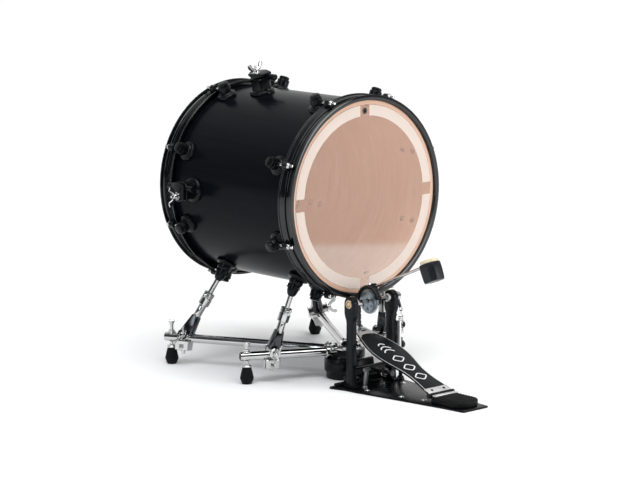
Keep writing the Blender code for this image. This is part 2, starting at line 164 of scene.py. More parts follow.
def bar(start, end, radius, end_radius=None, steps=24):
    """A round bar or cone with softened ends."""
    start, end = Vector(start), Vector(end)
    far = radius if end_radius is None else end_radius
    length = (end - start).length
    soft = min(BAR_EDGE, radius / 3, far / 3, length / 3)
    profile = [
        (0, length), (far - soft, length), (far, length - soft), (radius, soft), (radius - soft, 0), (0, 0),
    ]
    return turned(profile, start, end - start, steps)


def tube_end(start, end, radius, wall, depth):
    """A tube that is open at its far end, to the depth given."""
    length = (end - start).length
    inner, soft = radius - wall, 0.0004
    profile = [
        (0, length - depth), (inner, length - depth), (inner, length - soft), (inner + soft, length),
        (radius - soft, length), (radius, length - soft), (radius, 0), (0, 0),
    ]
    return turned(profile, start, end - start, 32)


def read_bmesh(shape, centre, basis):
    """The bmesh's points and faces, turned by the basis and moved to the centre."""
    basis = basis or Matrix.Identity(3)
    shape.transform(Matrix.Translation(Vector(centre)) @ basis.to_4x4())
    shape.verts.index_update()
    made = [v.co.copy() for v in shape.verts], [[v.index for v in f.verts] for f in shape.faces]
    shape.free()
    return made


def slab(centre, size, basis=None, soft=0.001, segments=2):
    """A box with rounded edges."""
    shape = bmesh.new()
    bmesh.ops.create_cube(shape, size=1.0)
    bmesh.ops.scale(shape, vec=size, verts=shape.verts)
    bmesh.ops.bevel(shape, geom=shape.edges[:], offset=soft, segments=segments, affect="EDGES", profile=0.5)
    return read_bmesh(shape, centre, basis)


def prism(outline, low, high, centre, basis=None, soft=0.0008, segments=2):
    """A flat outline raised from low to high along its own Z, with rounded rims."""
    shape = bmesh.new()
    face = shape.faces.new([shape.verts.new((x, y, low)) for x, y in outline])
    grown = bmesh.ops.extrude_face_region(shape, geom=[face])
    top = [item for item in grown["geom"] if isinstance(item, bmesh.types.BMVert)]
    bmesh.ops.translate(shape, vec=(0, 0, high - low), verts=top)
    bmesh.ops.recalc_face_normals(shape, faces=shape.faces)
    if soft:
        rims = [e for e in shape.edges if abs(e.verts[0].co.z - e.verts[1].co.z) < 1e-7]
        bmesh.ops.bevel(shape, geom=rims, offset=soft, segments=segments, affect="EDGES", profile=0.5)
    return read_bmesh(shape, centre, basis)


def directions(route, closed=False):
    """The direction of a route at each of its points."""
    count = len(route)
    ahead = []
    for index, here in enumerate(route):
        before = route[index - 1] if closed or index else here
        after = route[(index + 1) % count] if closed or index < count - 1 else here
        ahead.append((after - before).normalized())
    return ahead


def pipe(route, radius, closed=False, sides=12):
    """A round wire along a route of points."""
    rows = []
    side = None
    for here, ahead in zip(route, directions(route, closed)):
        if side is None:
            side = ahead.cross(Z if abs(ahead.z) < 0.9 else X)
        side = (side - side.dot(ahead) * ahead).normalized()
        up = ahead.cross(side)
        rows.append([here + radius * (cos * side + sin * up) for cos, sin in around(sides)])
    return skin(rows, closed)


def smooth_route(knots, per_span=8, closed=False):
    """Catmull-Rom points through the knots."""
    count = len(knots)
    route = []
    for index in range(count if closed else count - 1):
        near = [index + k for k in (-1, 0, 1, 2)]
        a, b, c, d = (knots[k % count if closed else min(max(k, 0), count - 1)] for k in near)
        for step in range(per_span):
            t = step / per_span
            squared, cubed = (2 * a - 5 * b + 4 * c - d) * t * t, (3 * b - a - 3 * c + d) * t**3
            route.append(0.5 * (2 * b + (c - a) * t + squared + cubed))
    if not closed:
        route.append(knots[-1])
    return route


def arc(centre, radius, start, end, steps, plane=(X, Z)):
    """Points on an arc, in degrees, in a plane given by two directions."""
    angles = [math.radians(start + (end - start) * step / steps) for step in range(steps + 1)]
    return [Vector(centre) + radius * (math.cos(a) * plane[0] + math.sin(a) * plane[1]) for a in angles]


def on_shell(angle, radius, y):
    """A point at an angle round the drum's axis, in degrees from its right side."""
    a = math.radians(angle)
    return Vector((radius * math.cos(a), y, radius * math.sin(a)))


def outward(angle):
    return on_shell(angle, 1.0, 0.0)


def shell_basis(angle):
    """Across the shell, along the drum and outward, as a rotation."""
    out = outward(angle)
    return Matrix((Y.cross(out), Y, out)).transposed()


# Pieces


def piece(name, body, material, *shapes, sharp=35, node=None):
    """One object made of the shapes, riding on its body and standing for a CAD node."""
    points, faces = [], []
    for shape_points, shape_faces in shapes:
        first = len(points)
        points += shape_points
        faces += [[first + index for index in face] for face in shape_faces]
    mesh = bpy.data.meshes.new(name)
    mesh.from_pydata([tuple(p) for p in points], [], faces)
    mesh.materials.append(material)
    mesh.shade_smooth()
    mesh.set_sharp_from_angle(angle=math.radians(sharp))
    obj = bpy.data.objects.new(name, mesh)
    bpy.context.scene.collection.objects.link(obj)
    obj.location = CENTRE
    if body:
        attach(obj, body)
    if node:
        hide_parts(node)
    return obj


def cut(obj, shape):
    """Cuts the shape from a piece, and keeps the plain result."""
    tool = piece("tool", None, obj.data.materials[0], shape)
    modifier = obj.modifiers.new("cut", "BOOLEAN")
    modifier.object = tool
    modifier.operation = "DIFFERENCE"
    bpy.context.view_layer.update()
    graph = bpy.context.evaluated_depsgraph_get()
    made = bpy.data.meshes.new_from_object(obj.evaluated_get(graph))
    obj.modifiers.clear()
    obj.data = made
    bpy.data.objects.remove(tool)
    made.shade_smooth()
    made.set_sharp_from_angle(angle=math.radians(35))


# Materials


def shader(name, colour, roughness, metallic=0.0, **sockets):
    """A new material, its node tree and its Principled shader."""
    material = bpy.data.materials.new(name)
    material.use_nodes = True
    tree = material.node_tree
    bsdf = tree.nodes["Principled BSDF"]
    bsdf.inputs["Base Color"].default_value = (*colour, 1.0)
    bsdf.inputs["Roughness"].default_value = roughness
    bsdf.inputs["Metallic"].default_value = metallic
    for label, value in sockets.items():
        bsdf.inputs[label.replace("_", " ")].default_value = value
    return material, tree, bsdf


def texture(tree, kind, scale, stretch=(1, 1, 1), **inputs):
    """A texture node on object coordinates, stretched along the axes."""
    place = tree.nodes.new("ShaderNodeTexCoord")
    mapping = tree.nodes.new("ShaderNodeMapping")
    mapping.inputs["Scale"].default_value = stretch
    node = tree.nodes.new(kind)
    node.inputs["Scale"].default_value = scale
    for label, value in inputs.items():
        node.inputs[label].default_value = value
    tree.links.new(place.outputs["Object"], mapping.inputs["Vector"])
    tree.links.new(mapping.outputs["Vector"], node.inputs["Vector"])
    return node.outputs[0]


def ramp(tree, source, *stops):
    """A colour ramp with the stops (position, colour)."""
    node = tree.nodes.new("ShaderNodeValToRGB")
    node.color_ramp.elements[0].position, node.color_ramp.elements[1].position = stops[0][0], stops[-1][0]
    for position, _ in stops[1:-1]:
        node.color_ramp.elements.new(position)
    for element, (_, colour) in zip(node.color_ramp.elements, stops):
        element.color = (*colour, 1.0)
    tree.links.new(source, node.inputs["Fac"])
    return node.outputs["Color"]


def spread(tree, source, low, high):
    """The source's values from 0 to 1, spread from low to high."""
    node = tree.nodes.new("ShaderNodeMapRange")
    node.inputs["To Min"].default_value = low
    node.inputs["To Max"].default_value = high
    tree.links.new(source, node.inputs["Value"])
    return node.outputs["Result"]


def bump(tree, bsdf, source, strength, distance):
    """Small relief in the shader's normal, from the source."""
    node = tree.nodes.new("ShaderNodeBump")
    node.inputs["Strength"].default_value = strength
    node.inputs["Distance"].default_value = distance
    tree.links.new(source, node.inputs["Height"])
    tree.links.new(node.outputs["Normal"], bsdf.inputs["Normal"])


def coated_metal(name, colour, roughness, grain=900, depth=0.00012, specular=0.08):
    """Paint or powder coat: a fine orange-peel surface with slight wear in its gloss."""
    material, tree, bsdf = shader(name, colour, roughness, Specular_IOR_Level=specular)
    fine = texture(tree, "ShaderNodeTexNoise", grain, Detail=3.0)
    broad = texture(tree, "ShaderNodeTexNoise", 35, Detail=4.0)
    tree.links.new(spread(tree, broad, roughness - 0.07, roughness + 0.09), bsdf.inputs["Roughness"])
    lighter = tuple(c * 1.5 + 0.001 for c in colour)
    tree.links.new(ramp(tree, broad, (0.35, colour), (0.75, lighter)), bsdf.inputs["Base Color"])
    bump(tree, bsdf, fine, 0.25, depth)
    return material


def polished_metal(name, colour, roughness, scratch=0.12):
    """Chrome or steel with faint smears and fine scratches."""
    material, tree, bsdf = shader(name, colour, roughness, metallic=1.0)
    smear = texture(tree, "ShaderNodeTexNoise", 60, Detail=5.0)
    fine = texture(tree, "ShaderNodeTexNoise", 700, (1, 1, 0.08), Detail=2.0)
    tree.links.new(spread(tree, smear, roughness * 0.6, roughness * 1.7), bsdf.inputs["Roughness"])
    dull = tuple(c * 0.86 for c in colour)
    tree.links.new(ramp(tree, smear, (0.3, dull), (0.7, colour)), bsdf.inputs["Base Color"])
    bump(tree, bsdf, fine, scratch, 0.00003)
    return material


def lacquer():
    """Satin black lacquer over a wrapped shell: soft gloss with a very faint long grain."""
    material, tree, bsdf = shader("satin_lacquer", (0.0029, 0.0039, 0.0055), 0.24, Specular_IOR_Level=0.05)
    grain = texture(tree, "ShaderNodeTexNoise", 90, (1, 0.06, 1), Detail=6.0)
    cloud = texture(tree, "ShaderNodeTexNoise", 7, Detail=3.0)
    tree.links.new(spread(tree, cloud, 0.20, 0.28), bsdf.inputs["Roughness"])
    slot_shade, pale = (0.0022, 0.0031, 0.0045), (0.0036, 0.0047, 0.0066)
    tree.links.new(ramp(tree, grain, (0.3, slot_shade), (0.7, pale)), bsdf.inputs["Base Color"])
    bump(tree, bsdf, grain, 0.05, 0.0002)
    return material


def maple():
    """Sealed maple ply: pale pinkish wood with fine grain running round the shell."""
    material, tree, bsdf = shader("maple_inside", (0.62, 0.42, 0.31), 0.45)
    grain = texture(tree, "ShaderNodeTexNoise", 55, (0.25, 3.0, 0.25), Detail=8.0, Distortion=0.6)
    figure = texture(tree, "ShaderNodeTexNoise", 9, (1.0, 2.0, 1.0), Detail=4.0)
    mix = tree.nodes.new("ShaderNodeMix")
    mix.data_type = "RGBA"
    mix.blend_type = "MULTIPLY"
    mix.inputs["Factor"].default_value = 0.7
    tree.links.new(ramp(tree, grain, (0.3, (0.84, 0.56, 0.42)), (0.72, (0.98, 0.73, 0.58))), mix.inputs[6])
    tree.links.new(ramp(tree, figure, (0.25, (0.84, 0.76, 0.72)), (0.75, (1, 1, 1))), mix.inputs[7])
    tree.links.new(mix.outputs[2], bsdf.inputs["Base Color"])
    bump(tree, bsdf, grain, 0.04, 0.0001)
    return material


def film(name, colour, alpha, roughness, painted_floor_reflection=None):
    """Polyester film with the faint ripples of a stretched head, and, where one is given, a painted
    reflection
    of the floor: a paler band low on it that stays fixed on the film."""
    material, tree, bsdf = shader(name, colour, roughness, Alpha=alpha, Specular_IOR_Level=0.35)
    ripple = texture(tree, "ShaderNodeTexNoise", 12, Detail=2.0)
    # Painted reflection: below a set height the film turns paler, standing in for the floor's reflection.
    if painted_floor_reflection:
        place = tree.nodes.new("ShaderNodeTexCoord")
        height = tree.nodes.new("ShaderNodeVectorMath")
        height.operation = "DOT_PRODUCT"
        height.inputs[1].default_value = (0.108, 0.0, 1.0)
        tree.links.new(place.outputs["Object"], height.inputs[0])
        share = spread(tree, height.outputs["Value"], 0.0, 1.0)
        share.node.inputs["From Min"].default_value = -0.20
        share.node.inputs["From Max"].default_value = 0.0
        tint = ramp(tree, share, (0.0, painted_floor_reflection), (0.45, painted_floor_reflection), (0.53, colour), (1.0, colour))
    else:
        tint = ramp(tree, ripple, (0.3, tuple(c * 0.94 for c in colour)), (0.7, colour))
    tree.links.new(tint, bsdf.inputs["Base Color"])
    bump(tree, bsdf, ripple, 0.008, 0.0002)
    return material


def speckled(name, slot_shade, pale, roughness, scale, depth):
    """A rough surface whose colour varies in fine speckles: coating, felt or rubber."""
    material, tree, bsdf = shader(name, pale, roughness, Specular_IOR_Level=0.15)
    grain = texture(tree, "ShaderNodeTexNoise", scale, Detail=6.0, Roughness=0.7)
    tree.links.new(ramp(tree, grain, (0.3, slot_shade), (0.7, pale)), bsdf.inputs["Base Color"])
    bump(tree, bsdf, grain, 0.5, depth)
    return material


LACQUER = lacquer()
MAPLE = maple()
BLACK = coated_metal("black_powder_coat", (0.0026, 0.0030, 0.0038), 0.25, depth=0.00002, specular=0.16)
GLOSS = coated_metal("gloss_black", (0.0022, 0.0026, 0.0034), 0.12, depth=0.00002, specular=0.55)
BOARD = coated_metal("footboard_paint", (0.0062, 0.0078, 0.0088), 0.40, grain=1400)
CHROME = polished_metal("chrome_plate", (0.62, 0.615, 0.61), 0.07)
STEEL = polished_metal("cam_steel", (0.33, 0.38, 0.41), 0.30, scratch=0.3)
SILVER = polished_metal("brushed_silver", (0.80, 0.80, 0.80), 0.36, scratch=0.25)
BLACK_CHROME = polished_metal("black_chrome", (0.075, 0.075, 0.08), 0.16)
GREY = polished_metal("grey_steel", (0.24, 0.245, 0.25), 0.34)
BEATER = coated_metal("beater_plastic", (0.0052, 0.0062, 0.0085), 0.34, grain=600, specular=0.30)
DARK_STEEL = polished_metal("chain_steel", (0.09, 0.09, 0.095), 0.30)
BRASS = polished_metal("bearing_brass", (0.62, 0.45, 0.28), 0.22)
# The paler colour low on the clear film is a painted reflection of the floor.
CLEAR = film("clear_head_film", (0.84, 0.57, 0.45), 0.26, 0.12, painted_floor_reflection=(1.0, 0.84, 0.74))
COLLAR = film("head_collar", (0.78, 0.50, 0.36), 1.0, 0.25)
WHITE_FILM = film("white_head_film", (0.82, 0.66, 0.56), 1.0, 0.40)
COATING = speckled("head_coating", (0.68, 0.57, 0.50), (0.78, 0.67, 0.60), 0.62, 700, 0.0002)
RUBBER = speckled("moulded_rubber", (0.0020, 0.0021, 0.0023), (0.0050, 0.0052, 0.0055), 0.58, 600, 0.0002)
FELT = speckled("pressed_felt", (0.62, 0.52, 0.34), (0.84, 0.75, 0.55), 0.95, 420, 0.0008)
PAINT = speckled("white_marking", (0.74, 0.74, 0.74), (0.84, 0.84, 0.84), 0.5, 500, 0.00005)


# Drum


def drum_shell():
    """The lacquered outside of the shell, and its bare ply with the bearing edges cut on it."""
    seam = SHELL_R - 0.0014
    inner = SHELL_R - SHELL_WALL
    coat = [
        (SHELL_R, SHELL_HALF - 0.0008), (SHELL_R, -SHELL_HALF + 0.0008), (seam + 0.0006, -SHELL_HALF),
        (seam, -SHELL_HALF + 0.0004), (seam, SHELL_HALF - 0.0004), (seam + 0.0006, SHELL_HALF),
    ]
    ply = [
        (seam, SHELL_HALF - 0.0004), (seam, -SHELL_HALF + 0.0004), (seam - 0.0008, -SHELL_HALF + 0.0004),
        (inner, -SHELL_HALF + 0.0045), (inner, SHELL_HALF - 0.0045), (seam - 0.0008, SHELL_HALF - 0.0004),
    ]
    piece("shell_skin", ROOT, LACQUER, turned(coat, ORIGIN, Y, 192, ring=True), node="shell")
    piece("shell_ply", ROOT, MAPLE, turned(ply, ORIGIN, Y, 192, ring=True), node="shell")


def lug_screws():
    """Two dome-headed screws with washers inside the shell at each lug."""
    inner = SHELL_R - SHELL_WALL
    dome = [
        (0, 0.0034), (0.0022, 0.0031), (0.0036, 0.0022), (0.0042, 0.0009), (0.0062, 0.0008), (0.0064, 0),
        (0, 0),
    ]
    shapes = []
    for angle in LUG_ANGLES:
        for end in (-1, 1):
            for offset in (-0.0155, 0.0155):
                spot = on_shell(angle, inner, end * LUG_Y + offset)
                shapes.append(turned(dome, spot, -outward(angle), 16))
    piece("lug_screws", ROOT, GREY, *shapes)


def ring_sector(inner, outer, low, high, quarter, gap, side):
    """A quarter of a flat ring between two straight gaps, on the head that faces the side."""
    rows = []
    steps = 40
    for step in range(steps + 1):
        row = []
        for radius, height in ((inner, low), (inner, high), (outer, high), (outer, low)):
            margin = math.degrees(math.asin(gap / 2 / radius))
            angle = 90 * quarter + margin + (90 - 2 * margin) * step / steps
            row.append(on_shell(angle, radius, side * height))
        rows.append(row)
    return skin(rows)


def outward_normals(obj):
    """Turns every face of a piece to point outside."""
    shape = bmesh.new()
    shape.from_mesh(obj.data)
    bmesh.ops.recalc_face_normals(shape, faces=shape.faces)
    shape.to_mesh(obj.data)
    shape.free()
    return obj


def head(name, side, film_material, collar_material):
    """A stretched film, its collar over the bearing edge, and the dark flesh hoop that holds it."""
    low, high = FILM_LOW, FILM_HIGH
    split = high - 0.0060
    disc = [(0, high), (FILM_R, high), (FILM_R, low), (0, low)]
    collar = [
        (0.1952, high - 0.0002), (0.2030, high - 0.0002), (0.2041, high - 0.0011), (0.2042, split),
        (0.2037, split), (0.2036, low - 0.0010), (0.2028, low), (0.1952, low + 0.0001),
    ]
    skirt = [
        (0.2042, split), (0.2043, 0.1900), (0.2043, 0.1863), (0.2090, 0.1863), (FLESH_R, 0.1855),
        (FLESH_R, 0.1775), (0.2090, 0.1766), (0.2044, 0.1766), (0.2037, 0.1775), (0.2037, split),
    ]
    node = f"{name}_head"
    piece(f"{name}_film", ROOT, film_material, turned(disc, ORIGIN, side * Y, 160), node=node)
    for part, material, profile in (("collar", collar_material, collar), ("flesh_hoop", GLOSS, skirt)):
        piece(f"{name}_{part}", ROOT, material, turned(profile, ORIGIN, side * Y, 160, ring=True), node=node)


def head_coating():
    """The white ring sprayed on the batter head, in four quarters, with a plain badge in one gap."""
    top = FILM_HIGH
    for quarter in range(4):
        sector = ring_sector(COAT_IN, COAT_OUT, top, top + COAT_THICK, quarter, COAT_GAP, -1)
        outward_normals(piece(f"head_coating_{quarter + 1}", ROOT, COATING, sector, sharp=30))
    dot = [(0, 0.0004), (0.0062, 0.0004), (0.0066, 0.0002), (0.0066, 0), (0, 0)]
    place = on_shell(90, 0.182, -top)
    piece("head_badge", ROOT, RUBBER, turned(dot, place, -Y, 32))
    ring = [(0.0042, 0.0006), (0.0048, 0.0006), (0.0048, 0.0003), (0.0042, 0.0003)]
    piece("head_badge_ring", ROOT, GREY, turned(ring, place, -Y, 32, ring=True))


def hoop(name, side):
    """A flanged hoop with rounded lips, its ears, and the tension rods through them."""
    wall = 0.0024
    step_y = 0.1866
    rim_out = RIM_INNER_R + wall
    skirt_out = SKIRT_INNER_R + wall
    rim, edge, inner = HOOP_RIM_Y, HOOP_SKIRT_Y, SKIRT_INNER_R
    profile = [
        (HOOP_R - 0.0008, rim), (HOOP_R, rim - 0.0008), (HOOP_R, rim - 0.0017),
        (HOOP_R - 0.0008, rim - 0.0024), (rim_out + 0.0030, rim - 0.0026), (rim_out + 0.0008, rim - 0.0036),
        (rim_out, rim - 0.0060), (rim_out, step_y + 0.0034), (rim_out + 0.0007, step_y + 0.0025),
        (skirt_out - 0.0010, step_y + wall), (skirt_out, step_y + 0.0012), (skirt_out, edge + 0.0034),
        (skirt_out + 0.0006, edge + 0.0025),
        (HOOP_R - 0.0006, edge + 0.0023), (HOOP_R, edge + 0.0016), (HOOP_R, edge + 0.0007),
        (HOOP_R - 0.0007, edge), (inner + 0.0006, edge), (inner, edge + 0.0006), (inner, step_y),
        (RIM_INNER_R + 0.0006, step_y), (RIM_INNER_R, step_y + 0.0006), (RIM_INNER_R, rim - 0.0007),
        (RIM_INNER_R + 0.0008, rim),
    ]
    ring = turned(profile, ORIGIN, side * Y, 192, ring=True)
    piece(f"{name}_rim", ROOT, GLOSS, ring, sharp=50, node=f"{name}_hoop")
    ears, rods = [], []
    for angle in LUG_ANGLES:
        ears.append(slab(on_shell(angle, EAR_R, side * EAR_Y), EAR_SIZE, shell_basis(angle), 0.0022, 3))
        low, high = (on_shell(angle, TENSION_R, side * y) for y in EAR_BOSS_Y)
        ears.append(bar(low, high, EAR_BOSS_R))
        rods += tension_rod(angle, side)
    piece(f"{name}_ears", ROOT, BLACK, *ears)
    piece(f"{name}_tension_rods", ROOT, CHROME, *rods)


def tension_rod(angle, side):
    """A square-headed rod with its washers, from beyond the ear into the lug."""
    places = (0.134, 0.1905, 0.1925, 0.1960, 0.20075)
    start, washer, collar, neck, square = (on_shell(angle, TENSION_R, side * y) for y in places)
    return [
        bar(start, neck, 0.0029, steps=16),
        bar(washer, collar, 0.0064),
        bar(collar, neck, 0.0055, 0.0048),
        slab(square, (0.0058, 0.0078, 0.0058), shell_basis(angle), 0.0007),
    ]


def lugs():
    """Round turret lugs: a stepped base on a thin gasket, and a ridged barrel with a domed cap."""
    foot = SHELL_R + GASKET
    top = LUG_TOP_R
    profile = [
        (0, top), (0.0086, top), (0.0104, top - 0.0010), (0.0112, top - 0.0030), (0.0112, top - 0.0048),
        (0.0104, top - 0.0054), (0.0104, top - 0.0066), (0.0128, top - 0.0074), (0.0133, top - 0.0086),
        (0.0133, foot + 0.0128), (0.0124, foot + 0.0121), (0.0124, foot + 0.0110), (0.0136, foot + 0.0103),
        (0.0150, foot + 0.0092), (0.0160, foot + 0.0078), (0.0190, foot + 0.0070), (0.0204, foot + 0.0056),
        (0.0206, foot + 0.0040), (0.0211, foot + 0.0034), (0.0213, foot + 0.0010), (0.0210, foot), (0, foot),
    ]
    for label, side in (("batter", -1), ("resonant", 1)):
        for number, angle in enumerate(LUG_ANGLES, 1):
            turret = turned(profile, (0, side * LUG_Y, 0), outward(angle))
            start = on_shell(angle, TENSION_R, side * LUG_Y)
            sleeve = bar(start, start + side * Y * 0.0175, 0.0058, 0.0050)
            piece(f"{label}_turret_{number}", ROOT, BLACK, turret, sleeve, node=f"{label}_lug_{number}")


# Accessory brackets


def arm_bracket(name, angle, y, body):
    """A flared base with a chunky throat, a loose saddle jaw, and the chrome wing nut on its stud."""
    foot, split, jaw_top = SHELL_R + GASKET, 0.2380, 0.2490
    out = outward(angle)
    across = Y.cross(out)
    basis = shell_basis(angle)
    flare = [
        (0, 0.0078), (0.0200, 0.0078), (0.0245, 0.0066), (0.0262, 0.0048), (0.0270, 0.0030), (0.0272, 0.0006),
        (0.0268, 0), (0, 0),
    ]
    base = turned([(radius, foot + height) for radius, height in flare], (0, y, 0), out, 64)
    root = on_shell(angle, 0, y)
    low, high = foot + 0.004, split - 0.0004
    throat = soft_block((0.0370, 0.0330), (0.0400, 0.0360), low, high, root, basis, 0.008, 0.0022)
    block = piece(f"{name}_bracket_body", ROOT, BLACK, base, throat, node=f"{name}_bracket")
    saddle = saddle_plate(root, basis, split, jaw_top)
    jaw = piece(f"{name}_bracket_jaw", ROOT, BLACK, saddle, node=f"{name}_jaw")
    middle = on_shell(angle, split, y) + across * SOCKET_X
    hole = bar(middle - Y * 0.04, middle + Y * 0.04, SOCKET_R, steps=32)
    for obj in (block, jaw):
        cut(obj, hole)
    centre = on_shell(angle, jaw_top, y) - across * SOCKET_X
    stud = bar(centre - out * 0.022, centre + out * 0.0165, 0.0026, steps=20)
    washer = bar(centre - out * 0.0002, centre + out * 0.0010, 0.0080)
    piece(f"{name}_bracket_stud", ROOT, CHROME, stud, washer)
    bolts = []
    for end in (-1, 1):
        spot = on_shell(angle, foot + 0.0066, y) + Y * (end * 0.0212)
        bolts.append(bar(spot, spot + out * 0.0032, 0.0034, steps=20))
    piece(f"{name}_bracket_bolts", ROOT, DARK_STEEL, *bolts)
    nut = wing_nut(f"{name}_wing_nut_forged", body, centre + out * 0.0012, out, across, 0.0205, 0.0170)
    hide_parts(f"{name}_wing_nut")


def rounded_rectangle(width, depth, corner):
    """The outline of a rectangle with round corners, counter-clockwise."""
    points = []
    for index, (sx, sy) in enumerate(((1, 1), (-1, 1), (-1, -1), (1, -1))):
        middle = (sx * (width / 2 - corner), sy * (depth / 2 - corner), 0)
        points += arc(middle, corner, 90 * index, 90 * index + 90, 6, (X, Y))
    return [(p.x, p.y) for p in points]


def loft(rows, centre, basis, closed=False):
    """A skin over rows of (outline, height), each outline with the same number of points."""
    centre = Vector(centre)
    placed = [[centre + basis @ Vector((x, y, height)) for x, y in outline] for outline, height in rows]
    return skin(placed, closed)


def soft_block(low_size, high_size, low, high, centre, basis, corner=0.006, waist=0.0):
    """A block with round corners and softened rims that tapers from one size to another."""
    rows = []
    for share, inset in ((0, 0.0012), (0.06, 0), (0.5, waist), (0.94, 0), (1, 0.0012)):
        width = low_size[0] + (high_size[0] - low_size[0]) * share - 2 * inset
        depth = low_size[1] + (high_size[1] - low_size[1]) * share - 2 * inset
        rows.append((rounded_rectangle(width, depth, corner), low + (high - low) * share))
    return loft(rows, centre, basis)


def saddle_plate(centre, basis, low, high):
    """The upper jaw: thick over the socket, with lips that flare away from the shell at both ends."""
    rows = []
    steps, half_length, soft = 14, 0.0195, 0.0016
    for step in range(steps + 1):
        t = 1 - 2 * step / steps
        lift = 0.0045 * t * t
        thick = (high - low) * (1.0 - 0.42 * t * t)
        bottom = low + 0.0004 + lift
        top = bottom + thick - lift * 0.4
        half = 0.0200 - 0.0035 * t * t
        outline = [
            (-half + soft, bottom), (half - soft, bottom), (half, bottom + soft), (half, top - soft),
            (half - soft, top), (-half + soft, top), (-half, top - soft), (-half, bottom + soft),
        ]
        rows.append([centre + basis @ Vector((x, t * half_length, z)) for x, z in outline])
    return skin(rows)


def wing_nut(name, body, foot, out, across, reach, spread_out):
    """A forged wing nut: a tapered hub, and two flat wings with round ends that flare outward."""
    hub = [
        (0, 0.0098), (0.0032, 0.0098), (0.0046, 0.0088), (0.0054, 0.0050), (0.0066, 0.0014), (0.0066, 0.0002),
        (0.0062, 0), (0, 0),
    ]
    shapes = [turned(hub, foot, out, 32)]
    thin = out.cross(across).normalized()
    for side in (-1, 1):
        route = smooth_route([
            foot + out * 0.0040 + across * side * 0.0025,
            foot + out * (reach * 0.45) + across * side * (spread_out * 0.62),
            foot + out * (reach * 0.78) + across * side * (spread_out * 0.92),
            foot + out * reach + across * side * spread_out,
        ], 5)
        shapes.append(wing_blade(route, thin, (0.0034, 0.0044, 0.0058, 0.0048), 0.0017))
    return piece(name, body, CHROME, *shapes)


def wing_blade(route, thin, widths, thickness):
    """A blade along a route: an oval section, wide in the route's plane and thin across it."""
    rows = []
    last = len(route) - 1
    for index, (here, ahead) in enumerate(zip(route, directions(route))):
        wide = ahead.cross(thin).normalized()
        at = index / last * (len(widths) - 1)
        base = min(int(at), len(widths) - 2)
        half = widths[base] + (widths[base + 1] - widths[base]) * (at - base)
        shrink = 0.55 if index == last else 1.0
        rows.append([here + shrink * (half * cos * wide + thickness * sin * thin) for cos, sin in around(12)])
    return skin(rows)


# Lift


def leg_line(index):
    """The clamp's middle on the arm, and the middle of the nose at the shell, of one leg."""
    x, y = FOOT_SPOTS[index]
    low = HUB.lerp(Vector((x, y, TUBE_Z)), CLAMP_SHARES[index])
    high = on_shell(BRACKET_ANGLE, BRACKET_REACH, BRACKET_Y[index])
    high.x = math.copysign(high.x, x)
    return low, high


def lift_arm(index):
    """A chrome tube from the hub to past its foot, plugged at the end, with its sleeve at the hub."""
    x, y = FOOT_SPOTS[index]
    foot = Vector((x, y, TUBE_Z))
    along = (foot - HUB).normalized()
    end = foot + along * 0.0148
    tube = tube_end(HUB + along * (HUB_R + 0.0003), end, TUBE_R, 0.0016, 0.003)
    piece(f"lift_tube_{index + 1}", ROOT, CHROME, tube, node=f"lift_arm_{index + 1}")
    plug = bar(end - along * 0.0029, end - along * 0.0004, 0.0078)
    piece(f"lift_tube_plug_{index + 1}", ROOT, RUBBER, plug)
    start = HUB + along * (HUB_R - 0.004)
    wall = [
        (0.0030, 0.0225), (0.0042, 0.0212), (0.0044, 0.0150), (0.0030, 0.0140), (0.0030, 0.0120),
        (0.0046, 0.0110), (0.0046, 0.0006), (0.0040, 0), (0.0002, 0), (0.0002, 0.0225),
    ]
    bolt = start + along * 0.0060 + Z * (TUBE_R + 0.003)
    pin = bolt + along * 0.0115 - along.cross(Z) * 0.004
    shapes = [
        turned([(TUBE_R + radius, height) for radius, height in wall], start, along, ring=True),
        bar(bolt, bolt + Z * 0.0050, 0.0040, 0.0036, steps=6),
        bar(pin, pin + Z * 0.004, 0.0026, steps=20),
    ]
    piece(f"hub_sleeve_{index + 1}", ROOT, CHROME, *shapes)


def grooved(radius, grooves, depth):
    """A circle's outline with grooves in it."""
    outline = []
    for step, (cos, sin) in enumerate(around(grooves * 4)):
        r = radius - (depth if step % 4 in (0, 1) else 0.0)
        outline.append((r * cos, r * sin))
    return outline


